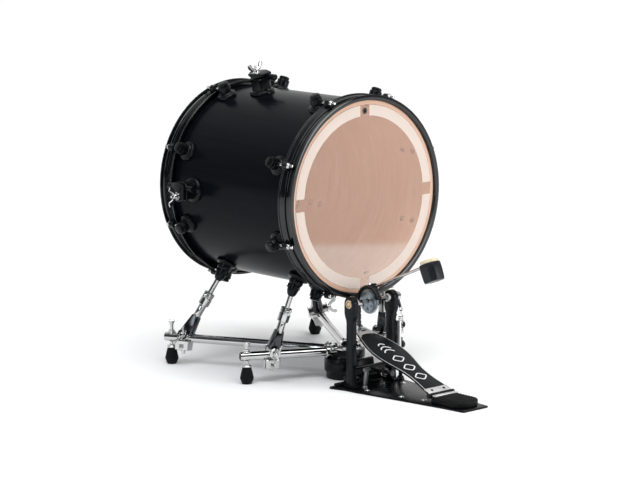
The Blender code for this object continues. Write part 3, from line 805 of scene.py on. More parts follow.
def lift_foot(index):
    """A fluted rubber foot, its chrome cup, and the levelling screw with nut, washer and wing head."""
    x, y = FOOT_SPOTS[index]
    body = f"foot_{index + 1}"
    ground = Vector((x, y, FLOOR))
    profile = (
        (0.0098, 0.0), (0.0106, 0.0012), (0.0143, 0.0104), (0.0146, 0.0128), (0.0143, 0.0146),
        (0.0118, 0.0260), (0.0098, 0.0338), (0.0090, 0.0362), (0.0082, 0.0370),
    )
    rows = []
    for radius, height in profile:
        depth = 0.0005 if 0.010 < height < 0.034 else 0.0
        rows.append((grooved(radius, 20, depth), height))
    rubber = loft(rows, ground, Matrix.Identity(3))
    piece(f"foot_rubber_{index + 1}", body, RUBBER, rubber, sharp=25, node=f"rubber_foot_{index + 1}")
    cup = [
        (0.0040, 0.0430), (0.0070, 0.0430), (0.0078, 0.0424), (0.0078, 0.0402), (0.0100, 0.0398),
        (0.0106, 0.0390), (0.0106, 0.0366), (0.0040, 0.0366),
    ]
    low, high = ground + Z * 0.0360, Vector((x, y, TUBE_Z - TUBE_R - 0.0003))
    shapes = [turned(cup, ground, Z, 40, ring=True), bar(low, high, 0.0040)]
    shapes += thread(low + Z * 0.0066, high, 0.0043, 0.0012)
    piece(f"foot_screw_{index + 1}", body, CHROME, *shapes)
    top = Vector((x, y, TUBE_Z + TUBE_R - 0.0006))
    shapes = [
        bar(top - Z * 0.0001, top + Z * 0.0022, 0.0098),
        bar(top + Z * 0.0022, top + Z * 0.0066, 0.0072, steps=6),
        bar(top + Z * 0.0066, top + Z * 0.0150, 0.0038, steps=20),
    ]
    if index == 1:
        shapes.append(bar(top + Z * 0.0120, top + Z * 0.0200, 0.0060, 0.0070))
    else:
        cross = Vector((0.62, -0.78, 0)) * 0.0068
        shapes.append(bar(top + Z * 0.0150, top + Z * 0.0270, 0.0036, 0.0062))
        shapes.append(bar(top + Z * 0.0258 - cross, top + Z * 0.0258 + cross, 0.0030))
    piece(f"foot_lock_{index + 1}", ROOT, CHROME, *shapes)


def thread(start, end, radius, pitch):
    """Fine rings along a screw, so that its thread catches the light."""
    along = (end - start).normalized()
    groove, root = radius - 0.0007, radius - 0.0014
    ring = [(groove, pitch * 0.45), (radius, pitch * 0.22), (groove, 0), (root, 0), (root, pitch * 0.45)]
    spots = [start + along * (index * pitch) for index in range(int((end - start).length / pitch))]
    return [turned(ring, spot, along, 20, ring=True) for spot in spots]


def leg_bracket(index):
    """The black ball mount on the shell, with its clamp bolt and the bell-shaped nose."""
    low, high = leg_line(index)
    angle = math.degrees(math.atan2(high.z, high.x))
    out = outward(angle)
    foot = SHELL_R + GASKET
    ball = [
        (0, 0.0240), (0.0060, 0.0236), (0.0110, 0.0215), (0.0144, 0.0170), (0.0156, 0.0120), (0.0150, 0.0084),
        (0.0160, 0.0066), (0.0205, 0.0056), (0.0218, 0.0042), (0.0222, 0.0008), (0.0218, 0), (0, 0),
    ]
    down = (low - high).normalized()
    nose = [
        (0, 0.0182), (0.0062, 0.0182), (0.0074, 0.0172), (0.0092, 0.0150), (0.0116, 0.0080), (0.0120, 0.0040),
        (0.0112, -0.0030), (0.0094, -0.0100), (0.0070, -0.0150), (0, -0.0160),
    ]
    side = down.cross(out).normalized()
    knob = high - down * 0.002
    shapes = [
        turned([(radius, foot + height) for radius, height in ball], (0, high.y, 0), out),
        turned(nose, high, down),
        bar(knob - side * 0.0135, knob + side * 0.0135, 0.0052),
    ]
    piece(f"leg_mount_{index + 1}", ROOT, BLACK, *shapes, node=f"leg_bracket_{index + 1}")
    bolt = knob + side * 0.0135
    piece(f"leg_mount_bolt_{index + 1}", ROOT, CHROME, bar(bolt, bolt + side * 0.0030, 0.0040, steps=6))


def leg(index):
    """A hinged clamp round the arm, the lower tube, the lock with its key bolts, and the rod."""
    low, high = leg_line(index)
    up = (high - low).normalized()
    x, y = FOOT_SPOTS[index]
    arm = Vector((x - HUB.x, y - HUB.y, 0)).normalized()
    pin = up.cross(arm).normalized()
    down = -arm.cross(pin).normalized()
    joint = low.lerp(high, 0.60)
    bore = TUBE_R + 0.0002
    ring = [
        (0.0168, 0.0130), (0.0178, 0.0120), (0.0178, 0.0040), (0.0164, 0.0032), (0.0164, -0.0032),
        (0.0178, -0.0040), (0.0178, -0.0120), (0.0168, -0.0130), (bore, -0.0130), (bore, 0.0130),
    ]
    cap = Matrix((arm, down.cross(arm), down)).transposed()
    shapes = [
        turned(ring, low, arm, 64, ring=True),
        soft_block((0.0350, 0.0320), (0.0330, 0.0270), 0.0070, 0.0275, low, cap),
        bar(low + down * 0.0270, low + down * 0.0350, 0.0042, 0.0036),
    ]
    clamp = piece(f"leg_hinge_{index + 1}", ROOT, CHROME, *shapes, node=f"leg_clamp_{index + 1}")
    cut(clamp, slab(low + down * 0.0190, (0.0110, 0.050, 0.0100), cap))
    leg_fork(index, low, up, arm, pin)
    leg_lock(index, low, joint, up, pin)
    rod = bar(joint - up * 0.006, high - up * 0.0165, 0.0059)
    piece(f"leg_upper_rod_{index + 1}", ROOT, CHROME, rod, node=f"leg_rod_{index + 1}")


def leg_fork(index, low, up, arm, pin):
    """The dark casting between clamp and tube, which narrows upward, and the hinge bolt through it."""
    across = (arm - arm.dot(up) * up).normalized()
    basis = Matrix((across, up.cross(across), up)).transposed()
    casting = soft_block((0.0300, 0.0250), (0.0190, 0.0190), 0.0125, 0.0560, low, basis)
    piece(f"leg_fork_{index + 1}", ROOT, BLACK_CHROME, casting)
    bolt_at = low + up * 0.0080
    shapes = [
        bar(bolt_at - pin * 0.0185, bolt_at + pin * 0.0185, 0.0100),
        bar(bolt_at - pin * 0.0205, bolt_at + pin * 0.0205, 0.0088),
        bar(bolt_at + pin * 0.0205, bolt_at + pin * 0.0225, 0.0122),
        bar(bolt_at - pin * 0.0225, bolt_at - pin * 0.0205, 0.0122),
        bar(bolt_at - pin * 0.0262, bolt_at - pin * 0.0225, 0.0064, steps=6),
    ]
    piece(f"leg_hinge_bolt_{index + 1}", ROOT, CHROME, *shapes)
    near = -1 if FOOT_SPOTS[index][0] < 0 else 1
    outside = pin if pin.x * near > 0 else -pin
    wing_nut(f"leg_hinge_wing_{index + 1}", ROOT, bolt_at + outside * 0.0222, outside, up, 0.0220, 0.0190)


def leg_lock(index, low, joint, up, pin):
    """The lower tube, and the split lock at its top with two square-headed key bolts."""
    basis = turn_to(up, pin)
    piece(f"leg_lower_tube_{index + 1}", ROOT, CHROME, bar(low + up * 0.050, joint + up * 0.001, 0.0085))
    lip = [
        (0.0070, 0.0155), (0.0112, 0.0155), (0.0122, 0.0145), (0.0124, 0.0070), (0.0114, 0.0060),
        (0.0114, 0.0030), (0.0124, 0.0020), (0.0124, -0.0140), (0.0112, -0.0152), (0.0070, -0.0152),
    ]
    shapes = [turned(lip, joint, up, 40, ring=True)]
    for side, height in ((1, 0.008), (-1, -0.007)):
        toward = pin * side
        spot = joint + up * height
        shapes.append(slab(spot + toward * 0.0135, (0.0100, 0.0110, 0.0120), basis, 0.0020))
        shapes.append(bar(spot + toward * 0.0180, spot + toward * 0.0200, 0.0054))
        shapes.append(slab(spot + toward * 0.0225, (0.0056, 0.0050, 0.0050), basis, 0.0006))
    shapes.append(slab(joint + up * -0.030, (0.0200, 0.0080, 0.0220), basis, 0.0020))
    piece(f"leg_lock_{index + 1}", ROOT, CHROME, *shapes, node=f"leg_clamp_{index + 1}")


def lift_hub():
    """The deck between the arms, the round black body that it stands on, and a wire latch."""
    deck = [
        (0, 0.0050), (HUB_R - 0.0030, 0.0050), (HUB_R - 0.0008, 0.0042), (HUB_R, 0.0025), (HUB_R, -0.0118),
        (HUB_R - 0.0010, -0.0132), (0, -0.0135),
    ]
    body = [
        (0, 0.0500), (0.0300, 0.0500), (0.0320, 0.0455), (0.0360, 0.0448), (0.0388, 0.0440), (0.0400, 0.0420),
        (0.0403, 0.0300), (0.0400, 0.0178), (0.0388, 0.0160), (0.0368, 0.0150), (0.0362, 0.0132),
        (0.0358, 0.0022), (0.0345, 0.0005), (0, 0.0005),
    ]
    piece("hub_block", ROOT, BLACK, turned(deck, HUB, Z, 64), turned(body, HUB_BODY, Z, 64), node="lift_hub")
    left = HUB + Vector((-0.030, 0.002, 0.0060))
    knots = [
        left + Vector(p) for p in (
            (0.000, 0.020, 0.0), (-0.010, 0.014, 0.0035), (-0.014, 0.000, 0.0045), (-0.012, -0.014, 0.0030),
            (-0.002, -0.022, 0.0005), (0.004, -0.010, -0.001), (0.005, 0.008, -0.001),
        )
    ]
    wire = pipe(smooth_route(knots, closed=True), 0.0016, closed=True)
    piece("hub_wire_latch", ROOT, CHROME, wire)
    bolts = []
    for spot in arc(HUB + Z * 0.0048, 0.021, 20, 290, 3, (X, Y)):
        bolts.append(bar(spot, spot + Z * 0.0034, 0.0042, steps=6))
        bolts.append(bar(spot, spot + Z * 0.0009, 0.0058))
    piece("hub_bolts", ROOT, CHROME, *bolts)


# Pedal


def base_plate():
    """The floor plate with its rolled rim and screws, and the post that anchors the spring."""
    half = [
        (0.036, -0.563), (0.041, -0.510), (0.058, -0.400), (0.076, -0.290), (0.079, -0.258), (0.090, -0.226),
        (0.086, -0.2205), (0.050, -0.2165),
    ]
    outline = round_corners(half + [(-x, y) for x, y in reversed(half)], 0.004)
    shapes = [prism(outline, FLOOR + 0.0002, PLATE_TOP, (PEDAL_X, 0, 0), soft=0.0010)]
    pin = spring_pin()
    anchor = Vector((pin.x, pin.y, PLATE_TOP - 0.001))
    shapes.append(bar(anchor, (pin.x, pin.y, ANCHOR_Z), 0.0042))
    shapes.append(bar(anchor, anchor + Z * 0.008, 0.0085, 0.0065))
    piece("pedal_floor_plate", ROOT, BLACK, *shapes, node="pedal_base")
    screws = []
    for x, y in ((-0.052, -0.300), (0.052, -0.300), (-0.040, -0.388), (0.040, -0.388), (-0.026, -0.440)):
        screws.append(cap_screw((PEDAL_X + x, y, PLATE_TOP), Z, 0.0040))
    piece("pedal_plate_screws", ROOT, SILVER, *screws)
    shoes = [slab((PEDAL_X, CLAMP_Y, PLATE_TOP + 0.0030), (0.150, 0.016, 0.0056), soft=0.0016)]
    for x in (-0.058, 0.058):
        shoes.append(slab((PEDAL_X + x, AXLE_Y, PLATE_TOP + 0.0026), (0.019, 0.034, 0.0048), soft=0.0014))
    piece("pedal_post_shoes", ROOT, BLACK, *shoes)
    hoop_clamp()


def hoop_clamp():
    """The black clamp behind the posts: a stepped jaw block, its roller, and the tightening lever."""
    foot = Vector((PEDAL_X, CLAMP_Y, PLATE_TOP + 0.0050))
    jaw = round_corners((
        (-0.0125, 0.0), (0.0115, 0.0), (0.0115, 0.026), (0.0060, 0.044), (-0.0020, 0.044), (-0.0055, 0.030),
        (-0.0125, 0.022),
    ), 0.004)
    roller = foot + Vector((0, 0.001, 0.014))
    shapes = [
        prism(jaw, -0.030, 0.030, foot, FACING_X, soft=0.0012),
        bar(roller - X * 0.041, roller + X * 0.041, 0.0095, steps=32),
        slab(foot + Z * 0.006, (0.092, 0.020, 0.013), soft=0.0020),
    ]
    piece("pedal_hoop_clamp", ROOT, BLACK, *shapes)
    pivot = foot + Vector((-0.033, -0.012, 0.010))
    lever = bar(pivot, pivot + Vector((0.034, -0.012, 0.018)), 0.0046, 0.0062)
    barrel = bar(pivot - X * 0.007, pivot + X * 0.007, 0.0064)
    piece("pedal_clamp_lever", ROOT, DARK_STEEL, lever, barrel)


def cap_screw(spot, out, radius):
    """A domed screw on a washer."""
    dome = [
        (0, 0.0024), (radius * 0.5, 0.0022), (radius * 0.9, 0.0013), (radius, 0.0006), (radius * 1.5, 0.0005),
        (radius * 1.5, 0), (0, 0),
    ]
    return turned(dome, spot, out, 24)


def round_corners(outline, radius, steps=4):
    """Replaces each corner of a flat outline by a short curve."""
    made = []
    corners = [Vector(corner) for corner in outline]
    for index, corner in enumerate(corners):
        before, after = corners[index - 1], corners[(index + 1) % len(corners)]
        reach = min(radius, (before - corner).length / 2.2, (after - corner).length / 2.2)
        start = corner + (before - corner).normalized() * reach
        end = corner + (after - corner).normalized() * reach
        for step in range(steps + 1):
            t = step / steps
            made.append((1 - t) ** 2 * start + 2 * t * (1 - t) * corner + t * t * end)
    return [(p.x, p.y) for p in made]


def spring_pin():
    """The lever's pin that the return spring hangs from."""
    return Vector((PEDAL_X + POST_HALF + 0.0165, AXLE_Y - 0.012, AXLE_Z - 0.026))


def post(name, side, node):
    """An upright: a bell-shaped bearing head over a straight squared bar with a splayed foot."""
    half = 0.0155
    head = [(p.y, p.z) for p in arc(ORIGIN, half, 0, 180, 14, (Y, Z))]
    foot = FLOOR + 0.0046 - AXLE_Z
    sides = [
        (-half, -0.010), (-0.0152, -0.021), (-0.0134, -0.028), (-0.0108, -0.033), (-0.0095, -0.038),
        (-0.0090, -0.044), (-0.0090, foot + 0.016), (-0.0098, foot + 0.008), (-0.0112, foot),
    ]
    outline = head + sides + [(-y, z) for y, z in reversed(sides)]
    thick = 0.0068
    centre = Vector((PEDAL_X + side * POST_HALF, AXLE_Y, AXLE_Z))
    body = prism(outline, -thick, thick, centre, FACING_X, soft=0.0016, segments=3)
    upright = piece(name, ROOT, BLACK, body, node=node)
    cut(upright, bar(centre - X * 0.03, centre + X * 0.03, AXLE_R + 0.0006, steps=32))
    face = centre + X * side * thick
    seat = [(0.0098, 0.0014), (0.0104, 0.0008), (0.0104, 0), (0.0074, 0), (0.0074, 0.0014)]
    bore = AXLE_R + 0.0008
    race = [(0.0082, 0.0024), (0.0088, 0.0018), (0.0088, 0), (bore, 0), (bore, 0.0024)]
    for label, material, profile in (("seat", DARK_STEEL, seat), ("race", BRASS, race)):
        ring = turned(profile, face, X * side, 40, ring=True)
        piece(f"{name}_bearing_{label}", ROOT, material, ring)


def axle():
    """The hexagonal axle, its end bolt, and the lever that stretches the spring."""
    axle_middle = Vector((PEDAL_X, AXLE_Y, AXLE_Z))
    start, end = axle_middle - X * (POST_HALF + 0.0060), axle_middle + X * (POST_HALF + 0.0240)
    pin = spring_pin()
    middle = Vector((pin.x, AXLE_Y, AXLE_Z))
    shapes = [
        bar(start, end, AXLE_R, steps=6),
        bar(middle - X * 0.0046, middle + X * 0.0046, 0.0092, steps=32),
        bar(middle, middle + (pin - middle) * 0.9, 0.0038, 0.0034, steps=20),
        pipe(arc(pin, 0.0042, 0, 330, 22, (Y, Z)), 0.0013),
        slab(middle + Vector((0, 0.0098, 0.0)), (0.0040, 0.0040, 0.0040), soft=0.0005),
    ]
    piece("axle_hexagon", "axle", CHROME, *shapes, node="axle")
    bolt = bar(start - X * 0.0030, start + X * 0.0002, 0.0050, 0.0054, steps=32)
    piece("axle_end_bolt", "axle", BRASS, bolt)
    ring = [
        (0.0080, 0.0030), (0.0086, 0.0024), (0.0086, -0.0024), (0.0080, -0.0030), (0.0056, -0.0030),
        (0.0056, 0.0030),
    ]
    inside = X * (POST_HALF - 0.0115)
    collars = [turned(ring, axle_middle + side * inside, X, 40, ring=True) for side in (-1, 1)]
    piece("axle_collars", "axle", SILVER, *collars)


def cam():
    """The sprocket cam: a toothed disc with a pierced flange, turning inside the wrapped chain."""
    centre = Vector((CAM_X, AXLE_Y, AXLE_Z))
    teeth, depths = 34, (0.0030, 0.0013, 0.0002, 0.0002, 0.0013, 0.0030)
    outline = []
    for step, (cos, sin) in enumerate(around(teeth * len(depths))):
        radius = CAM_R - depths[step % len(depths)]
        outline.append((radius * cos, radius * sin))
    toothed = prism(outline, -0.0026, 0.0026, centre, FACING_X, soft=0.0004)
    wheel = piece("cam_sprocket", "axle", STEEL, toothed, node="cam")
    disc = [(0.0232 * cos, 0.0232 * sin) for cos, sin in around(72)]
    disc = prism(disc, -0.0052, -0.0024, centre, FACING_X)
    flange = piece("cam_flange", "axle", STEEL, disc, node="cam")
    for obj in (wheel, flange):
        cut(obj, bar(centre - X * 0.02, centre + X * 0.02, AXLE_R + 0.0004, steps=32))
    for spot in arc(centre, 0.0158, 215, 315, 2, (Y, Z)):
        cut(flange, bar(spot - X * 0.02, spot - X * 0.0022, 0.0036))
    boss = [(0.0085, 0.0062), (0.0098, 0.0050), (0.0098, 0.0022), (0.0056, 0.0022), (0.0056, 0.0062)]
    piece("cam_boss", "axle", STEEL, turned(boss, centre, -X, 40, ring=True))
    routes = [arc(centre + X * x, CAM_R + 0.0010, -8, 168, 60, (Y, Z)) for x in (-0.0036, 0.0036)]
    piece("cam_felt_rim", "axle", RUBBER, *[pipe(route, 0.0026, sides=10) for route in routes])
    piece("cam_chain", ROOT, DARK_STEEL, *chain_links(arc(centre, CHAIN_R, 6, 162, 12, (Y, Z))))


def chain_links(pins):
    """The chain's links from pin to pin, wide and narrow in turn."""
    shapes = []
    for step, (start, end) in enumerate(zip(pins, pins[1:])):
        shapes += chain_link(start, end, 0.0040 if step % 2 else 0.0028)
    return shapes


def chain_link(start, end, half_width):
    """One link of the double chain: three waisted plates and the roller at its first end."""
    along = (end - start).normalized()
    out = X.cross(along).normalized()
    basis = Matrix((along, out, along.cross(out))).transposed()
    reach = (end - start).length
    outline = []
    for side in (1, -1):
        lobe = arc(X * side * reach / 2, 0.0026, -90 * side, 180 - 90 * side, 8, (X, Y))
        outline += [(p.x, p.y) for p in lobe] + [(0.0, 0.0017 * side)]
    middle = (start + end) / 2
    places = [middle + X * x for x in (-half_width, 0.0, half_width)]
    plates = [prism(outline, -0.00045, 0.00045, place, basis, soft=0.0) for place in places]
    return plates + [bar(start - X * 0.0046, start + X * 0.0046, 0.0012, steps=12)]


def chain():
    """The straight run of the chain. It stretches between the cam and the footboard's toe."""
    top, hook = (Vector((CAM_X, AXLE_Y + CHAIN_R, z)) for z in (AXLE_Z, -0.2730))
    count = 9
    pins = [top.lerp(hook, step / count) for step in range(count + 1)]
    run = piece("chain_links", None, DARK_STEEL, *chain_links(pins))
    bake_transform(run)
    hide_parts("chain")
    piece("chain_shackle", "chain_run", SILVER, bar(hook - X * 0.0065, hook + X * 0.0065, 0.0017, steps=16))


def rod_frame():
    """The beater rod's direction, and the one that it is offset in from the axle."""
    along = Vector((0, -math.cos(ROD_TILT), math.sin(ROD_TILT)))
    facing = Vector((0, math.sin(ROD_TILT), math.cos(ROD_TILT)))
    return along, facing


def beater_hub():
    """The split collar on the axle, the block that holds the beater rod, and their key screws."""
    along, facing = rod_frame()
    centre = Vector((ROD_X, AXLE_Y, AXLE_Z))
    basis = Matrix((-X, along, facing)).transposed()
    bore = AXLE_R + 0.0004
    ring = [
        (0.0118, 0.0088), (0.0126, 0.0080), (0.0126, 0.0022), (0.0116, 0.0014), (0.0116, -0.0014),
        (0.0126, -0.0022), (0.0126, -0.0080), (0.0118, -0.0088), (bore, -0.0088), (bore, 0.0088),
    ]
    shapes = [
        turned(ring, centre, X, 56, ring=True),
        soft_block((0.0200, 0.0230), (0.0185, 0.0240), 0.0080, 0.0330, centre, basis),
    ]
    hub = piece("beater_clamp_block", "axle", BLACK, *shapes, node="beater_hub")
    line = centre + facing * ROD_OFFSET
    cut(hub, bar(line - along * 0.03, line + along * 0.03, 0.0033))
    shapes = []
    for spot, out in ((line + along * 0.001, X), (line - along * 0.007 - facing * 0.011, -X)):
        foot = spot + out * 0.0092
        shapes.append(bar(foot, foot + out * 0.0030, 0.0046))
        shapes.append(slab(foot + out * 0.0058, (0.0060, 0.0052, 0.0052), soft=0.0006))
    shapes.append(bar(line + facing * 0.0070, line + facing * 0.0110, 0.0042, steps=6))
    piece("beater_clamp_screws", "axle", CHROME, *shapes)


def beater():
    """The rod, the octagonal two-way beater on its ferrule, and the felt pad that meets the head."""
    along, facing = rod_frame()
    line = Vector((ROD_X, AXLE_Y, AXLE_Z)) + facing * ROD_OFFSET
    start, end = line - along * 0.020, line + along * (BEATER_REACH - 0.019)
    piece("beater_shaft", "beater", CHROME, bar(start, end + along * 0.004, 0.0031), node="beater_rod")
    ferrule = [
        (0.0072, 0.0050), (0.0080, 0.0040), (0.0080, 0), (0.0034, -0.0050), (0.0032, -0.0060), (0, -0.0060),
        (0, 0.0050),
    ]
    piece("beater_ferrule", "beater", BLACK, turned(ferrule, end - along * 0.0005, along, 32))
    basis = Matrix((X, -along, facing)).transposed()
    centre = line + along * (BEATER_REACH + 0.0003) - facing * 0.012
    body = (
        (-0.0245, 0.86), (-0.0232, 0.93), (-0.0170, 0.975), (0.0, 1.0), (0.0100, 0.985), (0.0134, 0.95),
        (0.0142, 0.90),
    )
    pad = ((0.0138, 0.82), (0.0146, 0.88), (0.0200, 0.90), (0.0212, 0.86), (0.0218, 0.76))
    looks = (("body", BEATER, body, 0.0100, 28), ("felt", FELT, pad, 0.0115, 50))
    for label, material, levels, corner, sharp in looks:
        rows = [(chamfered(share, corner), height) for height, share in levels]
        shape = loft(rows, centre, basis)
        piece(f"beater_{label}", "beater", material, shape, sharp=sharp, node="beater_head")


def chamfered(share, corner):
    """The beater's outline at a share of its full size: corners cut off, the cuts' ends rounded."""
    w, d, c = 0.0412 * share / 2, 0.0430 * share / 2, corner * share
    half = [(w, -d + c), (w, d - c), (w - c, d), (-w + c, d)]
    return round_corners(half + [(-x, -y) for x, y in half], 0.0016, 3)


def spring():
    """The return spring, hooked at both ends, and its tension screw with two knurled knobs."""
    pin = spring_pin()
    bottom = Vector((pin.x, pin.y, ANCHOR_Z + 0.0003))
    top = pin - Z * 0.0045
    turns, steps, coil_r = 11, 16, 0.0050
    length = top.z - bottom.z
    lower, upper = 0.12 * length, 0.82 * length
    route = [bottom, bottom + Z * lower * 0.5]
    for step in range(turns * steps + 1):
        a = math.tau * step / steps
        height = lower + (upper - lower) * step / (turns * steps)
        route.append(bottom + Vector((coil_r * math.cos(a), coil_r * math.sin(a), height)))
    route += [bottom + Z * (upper + (length - upper) * 0.5), bottom + Z * (length + 0.0022)]
    coil = piece("spring_coil", None, CHROME, pipe(route, 0.00085, sides=8))
    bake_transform(coil)
    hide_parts("return_spring")
    screw = bottom - Z * 0.006
    shapes = [bar(screw - Z * 0.024, screw + Z * 0.0055, 0.0030, steps=20)]
    shapes += thread(screw - Z * 0.022, screw + Z * 0.004, 0.0034, 0.0011)
    piece("spring_tension_screw", ROOT, CHROME, *shapes)
    bracket_x = PEDAL_X + POST_HALF + 0.0095
    plate = slab((bracket_x + 0.001, pin.y + 0.004, bottom.z + 0.004), (0.0050, 0.0200, 0.0640), soft=0.0012)
    piece("spring_bracket", ROOT, SILVER, plate)
    knobs = []
    for height in (-0.016, 0.0265):
        spot = Vector((bracket_x + 0.0035, pin.y + 0.002, bottom.z + height))
        knobs.append(knob(spot, X, 0.0078, 0.0125))
    piece("spring_knobs", ROOT, BLACK, *knobs)


def knob(foot, out, radius, height):
    """A knurled round knob."""
    levels = ((0.0, 0.0006), (0.08, 0.0), (0.92, 0.0), (1.0, 0.0008))
    rows = [(grooved(radius - inset, 12, 0.0005), height * share) for share, inset in levels]
    return loft(rows, foot, turn_to(out))


BOARD_BASIS = Matrix.Rotation(BOARD_RISE, 3, "X")
BOARD_HALF = (
    (0.0335, 0.002), (0.0320, 0.012), (0.0300, 0.030), (0.0275, 0.050), (0.0268, 0.070), (0.0285, 0.088),
    (0.0325, 0.106), (0.0380, 0.126), (0.0418, 0.144), (0.0430, 0.160), (0.0424, 0.178), (0.0385, 0.198),
    (0.0320, 0.218), (0.0250, 0.236), (0.0190, 0.250), (0.0152, 0.261),
)


def board_outline(inset=0.0, low=0.002):
    """The footboard's outline, drawn in by an inset, from a distance in front of the hinge."""
    side = [p for p in smooth_route([Vector((x, s, 0)) for x, s in BOARD_HALF], 5) if low <= p.y]
    half = []
    for point, ahead in zip(side, directions(side)):
        x, y = point.x - ahead.y * inset, point.y + ahead.x * inset
        half.append((x, min(max(y, low + inset), BOARD_LENGTH - inset)))
    return half + [(-x, y) for x, y in reversed(half)]


def on_board(x, s, height=0.0):
    """A point on the footboard's top: x from its middle line, s from the hinge."""
    return HINGE + BOARD_BASIS @ Vector((x, s, BOARD_TOP + height))


def footboard():
    """The long board: a black deck inside a polished edge, with its toe plate and heel strip."""
    deck = prism(board_outline(), 0.0004, BOARD_TOP, HINGE, BOARD_BASIS, soft=0.0007)
    barrel = bar(HINGE - X * 0.028, HINGE + X * 0.028, 0.0042)
    piece("footboard_deck", "footboard", BOARD, deck, barrel, node="footboard")
    outer, inner = (board_outline(inset, 0.004) for inset in (0.0010, 0.0027))
    low, high = BOARD_TOP - 0.0004, BOARD_TOP + 0.0004
    band = [(outer, low), (outer, high), (inner, high), (inner, low)]
    outward_normals(piece("footboard_edge", "footboard", SILVER, loft(band, HINGE, BOARD_BASIS, closed=True)))
    size = (0.0040, 0.200, 0.0060)
    ribs = [slab(on_board(x, 0.130, -0.0060), size, BOARD_BASIS, 0.0012) for x in (-0.011, 0.011)]
    piece("footboard_under_ribs", "footboard", BLACK, *ribs)
    toe_plate()
    heel_strip()
    board_markings()


def toe_plate():
    """The polished plate at the toe: round at the deck's side, slotted for the chain's hook; painted shade at
    the slot's bottom.
    """
    half = [(0.0150, 0.2610), (0.0185, 0.2500), (0.0225, 0.2400), (0.0240, 0.2320)]
    bend = [(p.x, 0.2300 + p.y * 0.42) for p in arc(ORIGIN, 0.0215, 0, 180, 24, (X, Y))]
    outline = [(-x, y) for x, y in reversed(half)] + half + bend
    plate = prism(outline, 0.0036, 0.0050, HINGE, BOARD_BASIS, soft=0.0004)
    toe = outward_normals(piece("footboard_toe_plate", "footboard", SILVER, plate))
    slot = 0.2500
    cut(toe, slab(on_board(0, slot), (0.0140, 0.0050, 0.0100), BOARD_BASIS, 0.0015))
    # Painted shade: a darker rubber patch at the bottom of the slot stands in for the slot's shadow.
    slot_shade = slab(on_board(0, slot, -0.0006), (0.0138, 0.0048, 0.0012), BOARD_BASIS, 0.0003)
    piece("footboard_toe_slot_shade", "footboard", RUBBER, slot_shade)
    size = (0.0016, 0.0100, 0.0120)
    ears = [slab(on_board(x, 0.2590, 0.0045), size, BOARD_BASIS, 0.0007) for x in (-0.0125, 0.0005)]
    ears.append(bar(on_board(-0.0145, 0.2600, 0.0060), on_board(0.0025, 0.2600, 0.0060), 0.0020, steps=20))
    piece("footboard_chain_yoke", "footboard", SILVER, *ears)


def heel_strip():
    """The polished strip across the heel with its two dark rivets, and the one fixed to the base."""
    strip = slab(on_board(0, 0.0110, 0.0004), (0.0640, 0.0170, 0.0016), BOARD_BASIS, 0.0005)
    piece("footboard_heel_strip", "footboard", SILVER, strip)
    rivets = [cap_screw(on_board(x, 0.0110, 0.0010), BOARD_BASIS @ Z, 0.0022) for x in (-0.0170, 0.0170)]
    piece("footboard_heel_rivets", "footboard", DARK_STEEL, *rivets)
    front = Vector((PEDAL_X, HINGE.y - 0.0125, HINGE.z + 0.0018))
    piece("hinge_fixed_strip", ROOT, SILVER, slab(front, (0.0640, 0.0105, 0.0024), soft=0.0006))
    knuckles = [bar(HINGE + X * x, HINGE + X * (x + 0.0080), 0.0050) for x in (-0.0370, 0.0290)]
    piece("hinge_knuckles", ROOT, BLACK, *knuckles)


def painted_line(route, closed=False):
    """A flat line of paint with a thickness, along a route on the board."""
    normal = BOARD_BASIS @ Z
    rise = normal * PAINT_HIGH
    rows = []
    for here, ahead in zip(route, directions(route, closed)):
        side = normal.cross(ahead).normalized() * (PAINT_WIDTH / 2)
        rows.append([here - side, here + side, here + side + rise, here - side + rise])
    return skin(rows, closed)


def board_markings():
    """Painted outlines on the deck: three rounded lozenges, and three plain arcs towards the toe."""
    shapes = []
    above = 0.00005
    half_width, half_length = 0.0165, 0.0125
    for s in (0.0640, 0.1000, 0.1350):
        corners = [(-half_width, s), (0.0, s - half_length), (half_width, s), (0.0, s + half_length)]
        knots = [on_board(x, y, above) for x, y in round_corners(corners, 0.0055, 3)]
        shapes.append(painted_line(smooth_route(knots, 3, closed=True), closed=True))
    for radius, start, s in ((0.0150, 25, 0.1560), (0.0150, 25, 0.1680), (0.0090, 20, 0.1860)):
        bow = arc((0, s, 0), radius, start, 180 - start, 20, (X, Y))
        shapes.append(painted_line([on_board(p.x, p.y, above) for p in bow]))
    outward_normals(piece("footboard_markings", "footboard", PAINT, *shapes, sharp=30))


def heel_block():
    """The ribbed rubber heel: a rounded block with ridges across its top."""
    front, half, bow = -0.522, 0.036, 0.030
    back, foot = HINGE.y - 0.0085, PLATE_TOP + 0.0003
    curve = arc(ORIGIN, 1.0, 0, 180, 24, (X, Y))
    outline = [(half * p.x, front - bow * p.y) for p in curve] + [(-half, back), (half, back)]
    shapes = [prism(outline, foot, foot + 0.0115, (PEDAL_X, 0, 0), soft=0.0020, segments=3)]
    for step in range(9):
        y = back - 0.010 - step * 0.0078
        past = max(0.0, front - y) / bow
        reach = half * 0.90 * math.sqrt(max(0.0, 1 - past**2))
        if reach > 0.008:
            shapes.append(slab((PEDAL_X, y, foot + 0.0118), (2 * reach, 0.0042, 0.0030), soft=0.0012))
    outward_normals(piece("heel_block", ROOT, RUBBER, *shapes, node="heel_plate"))


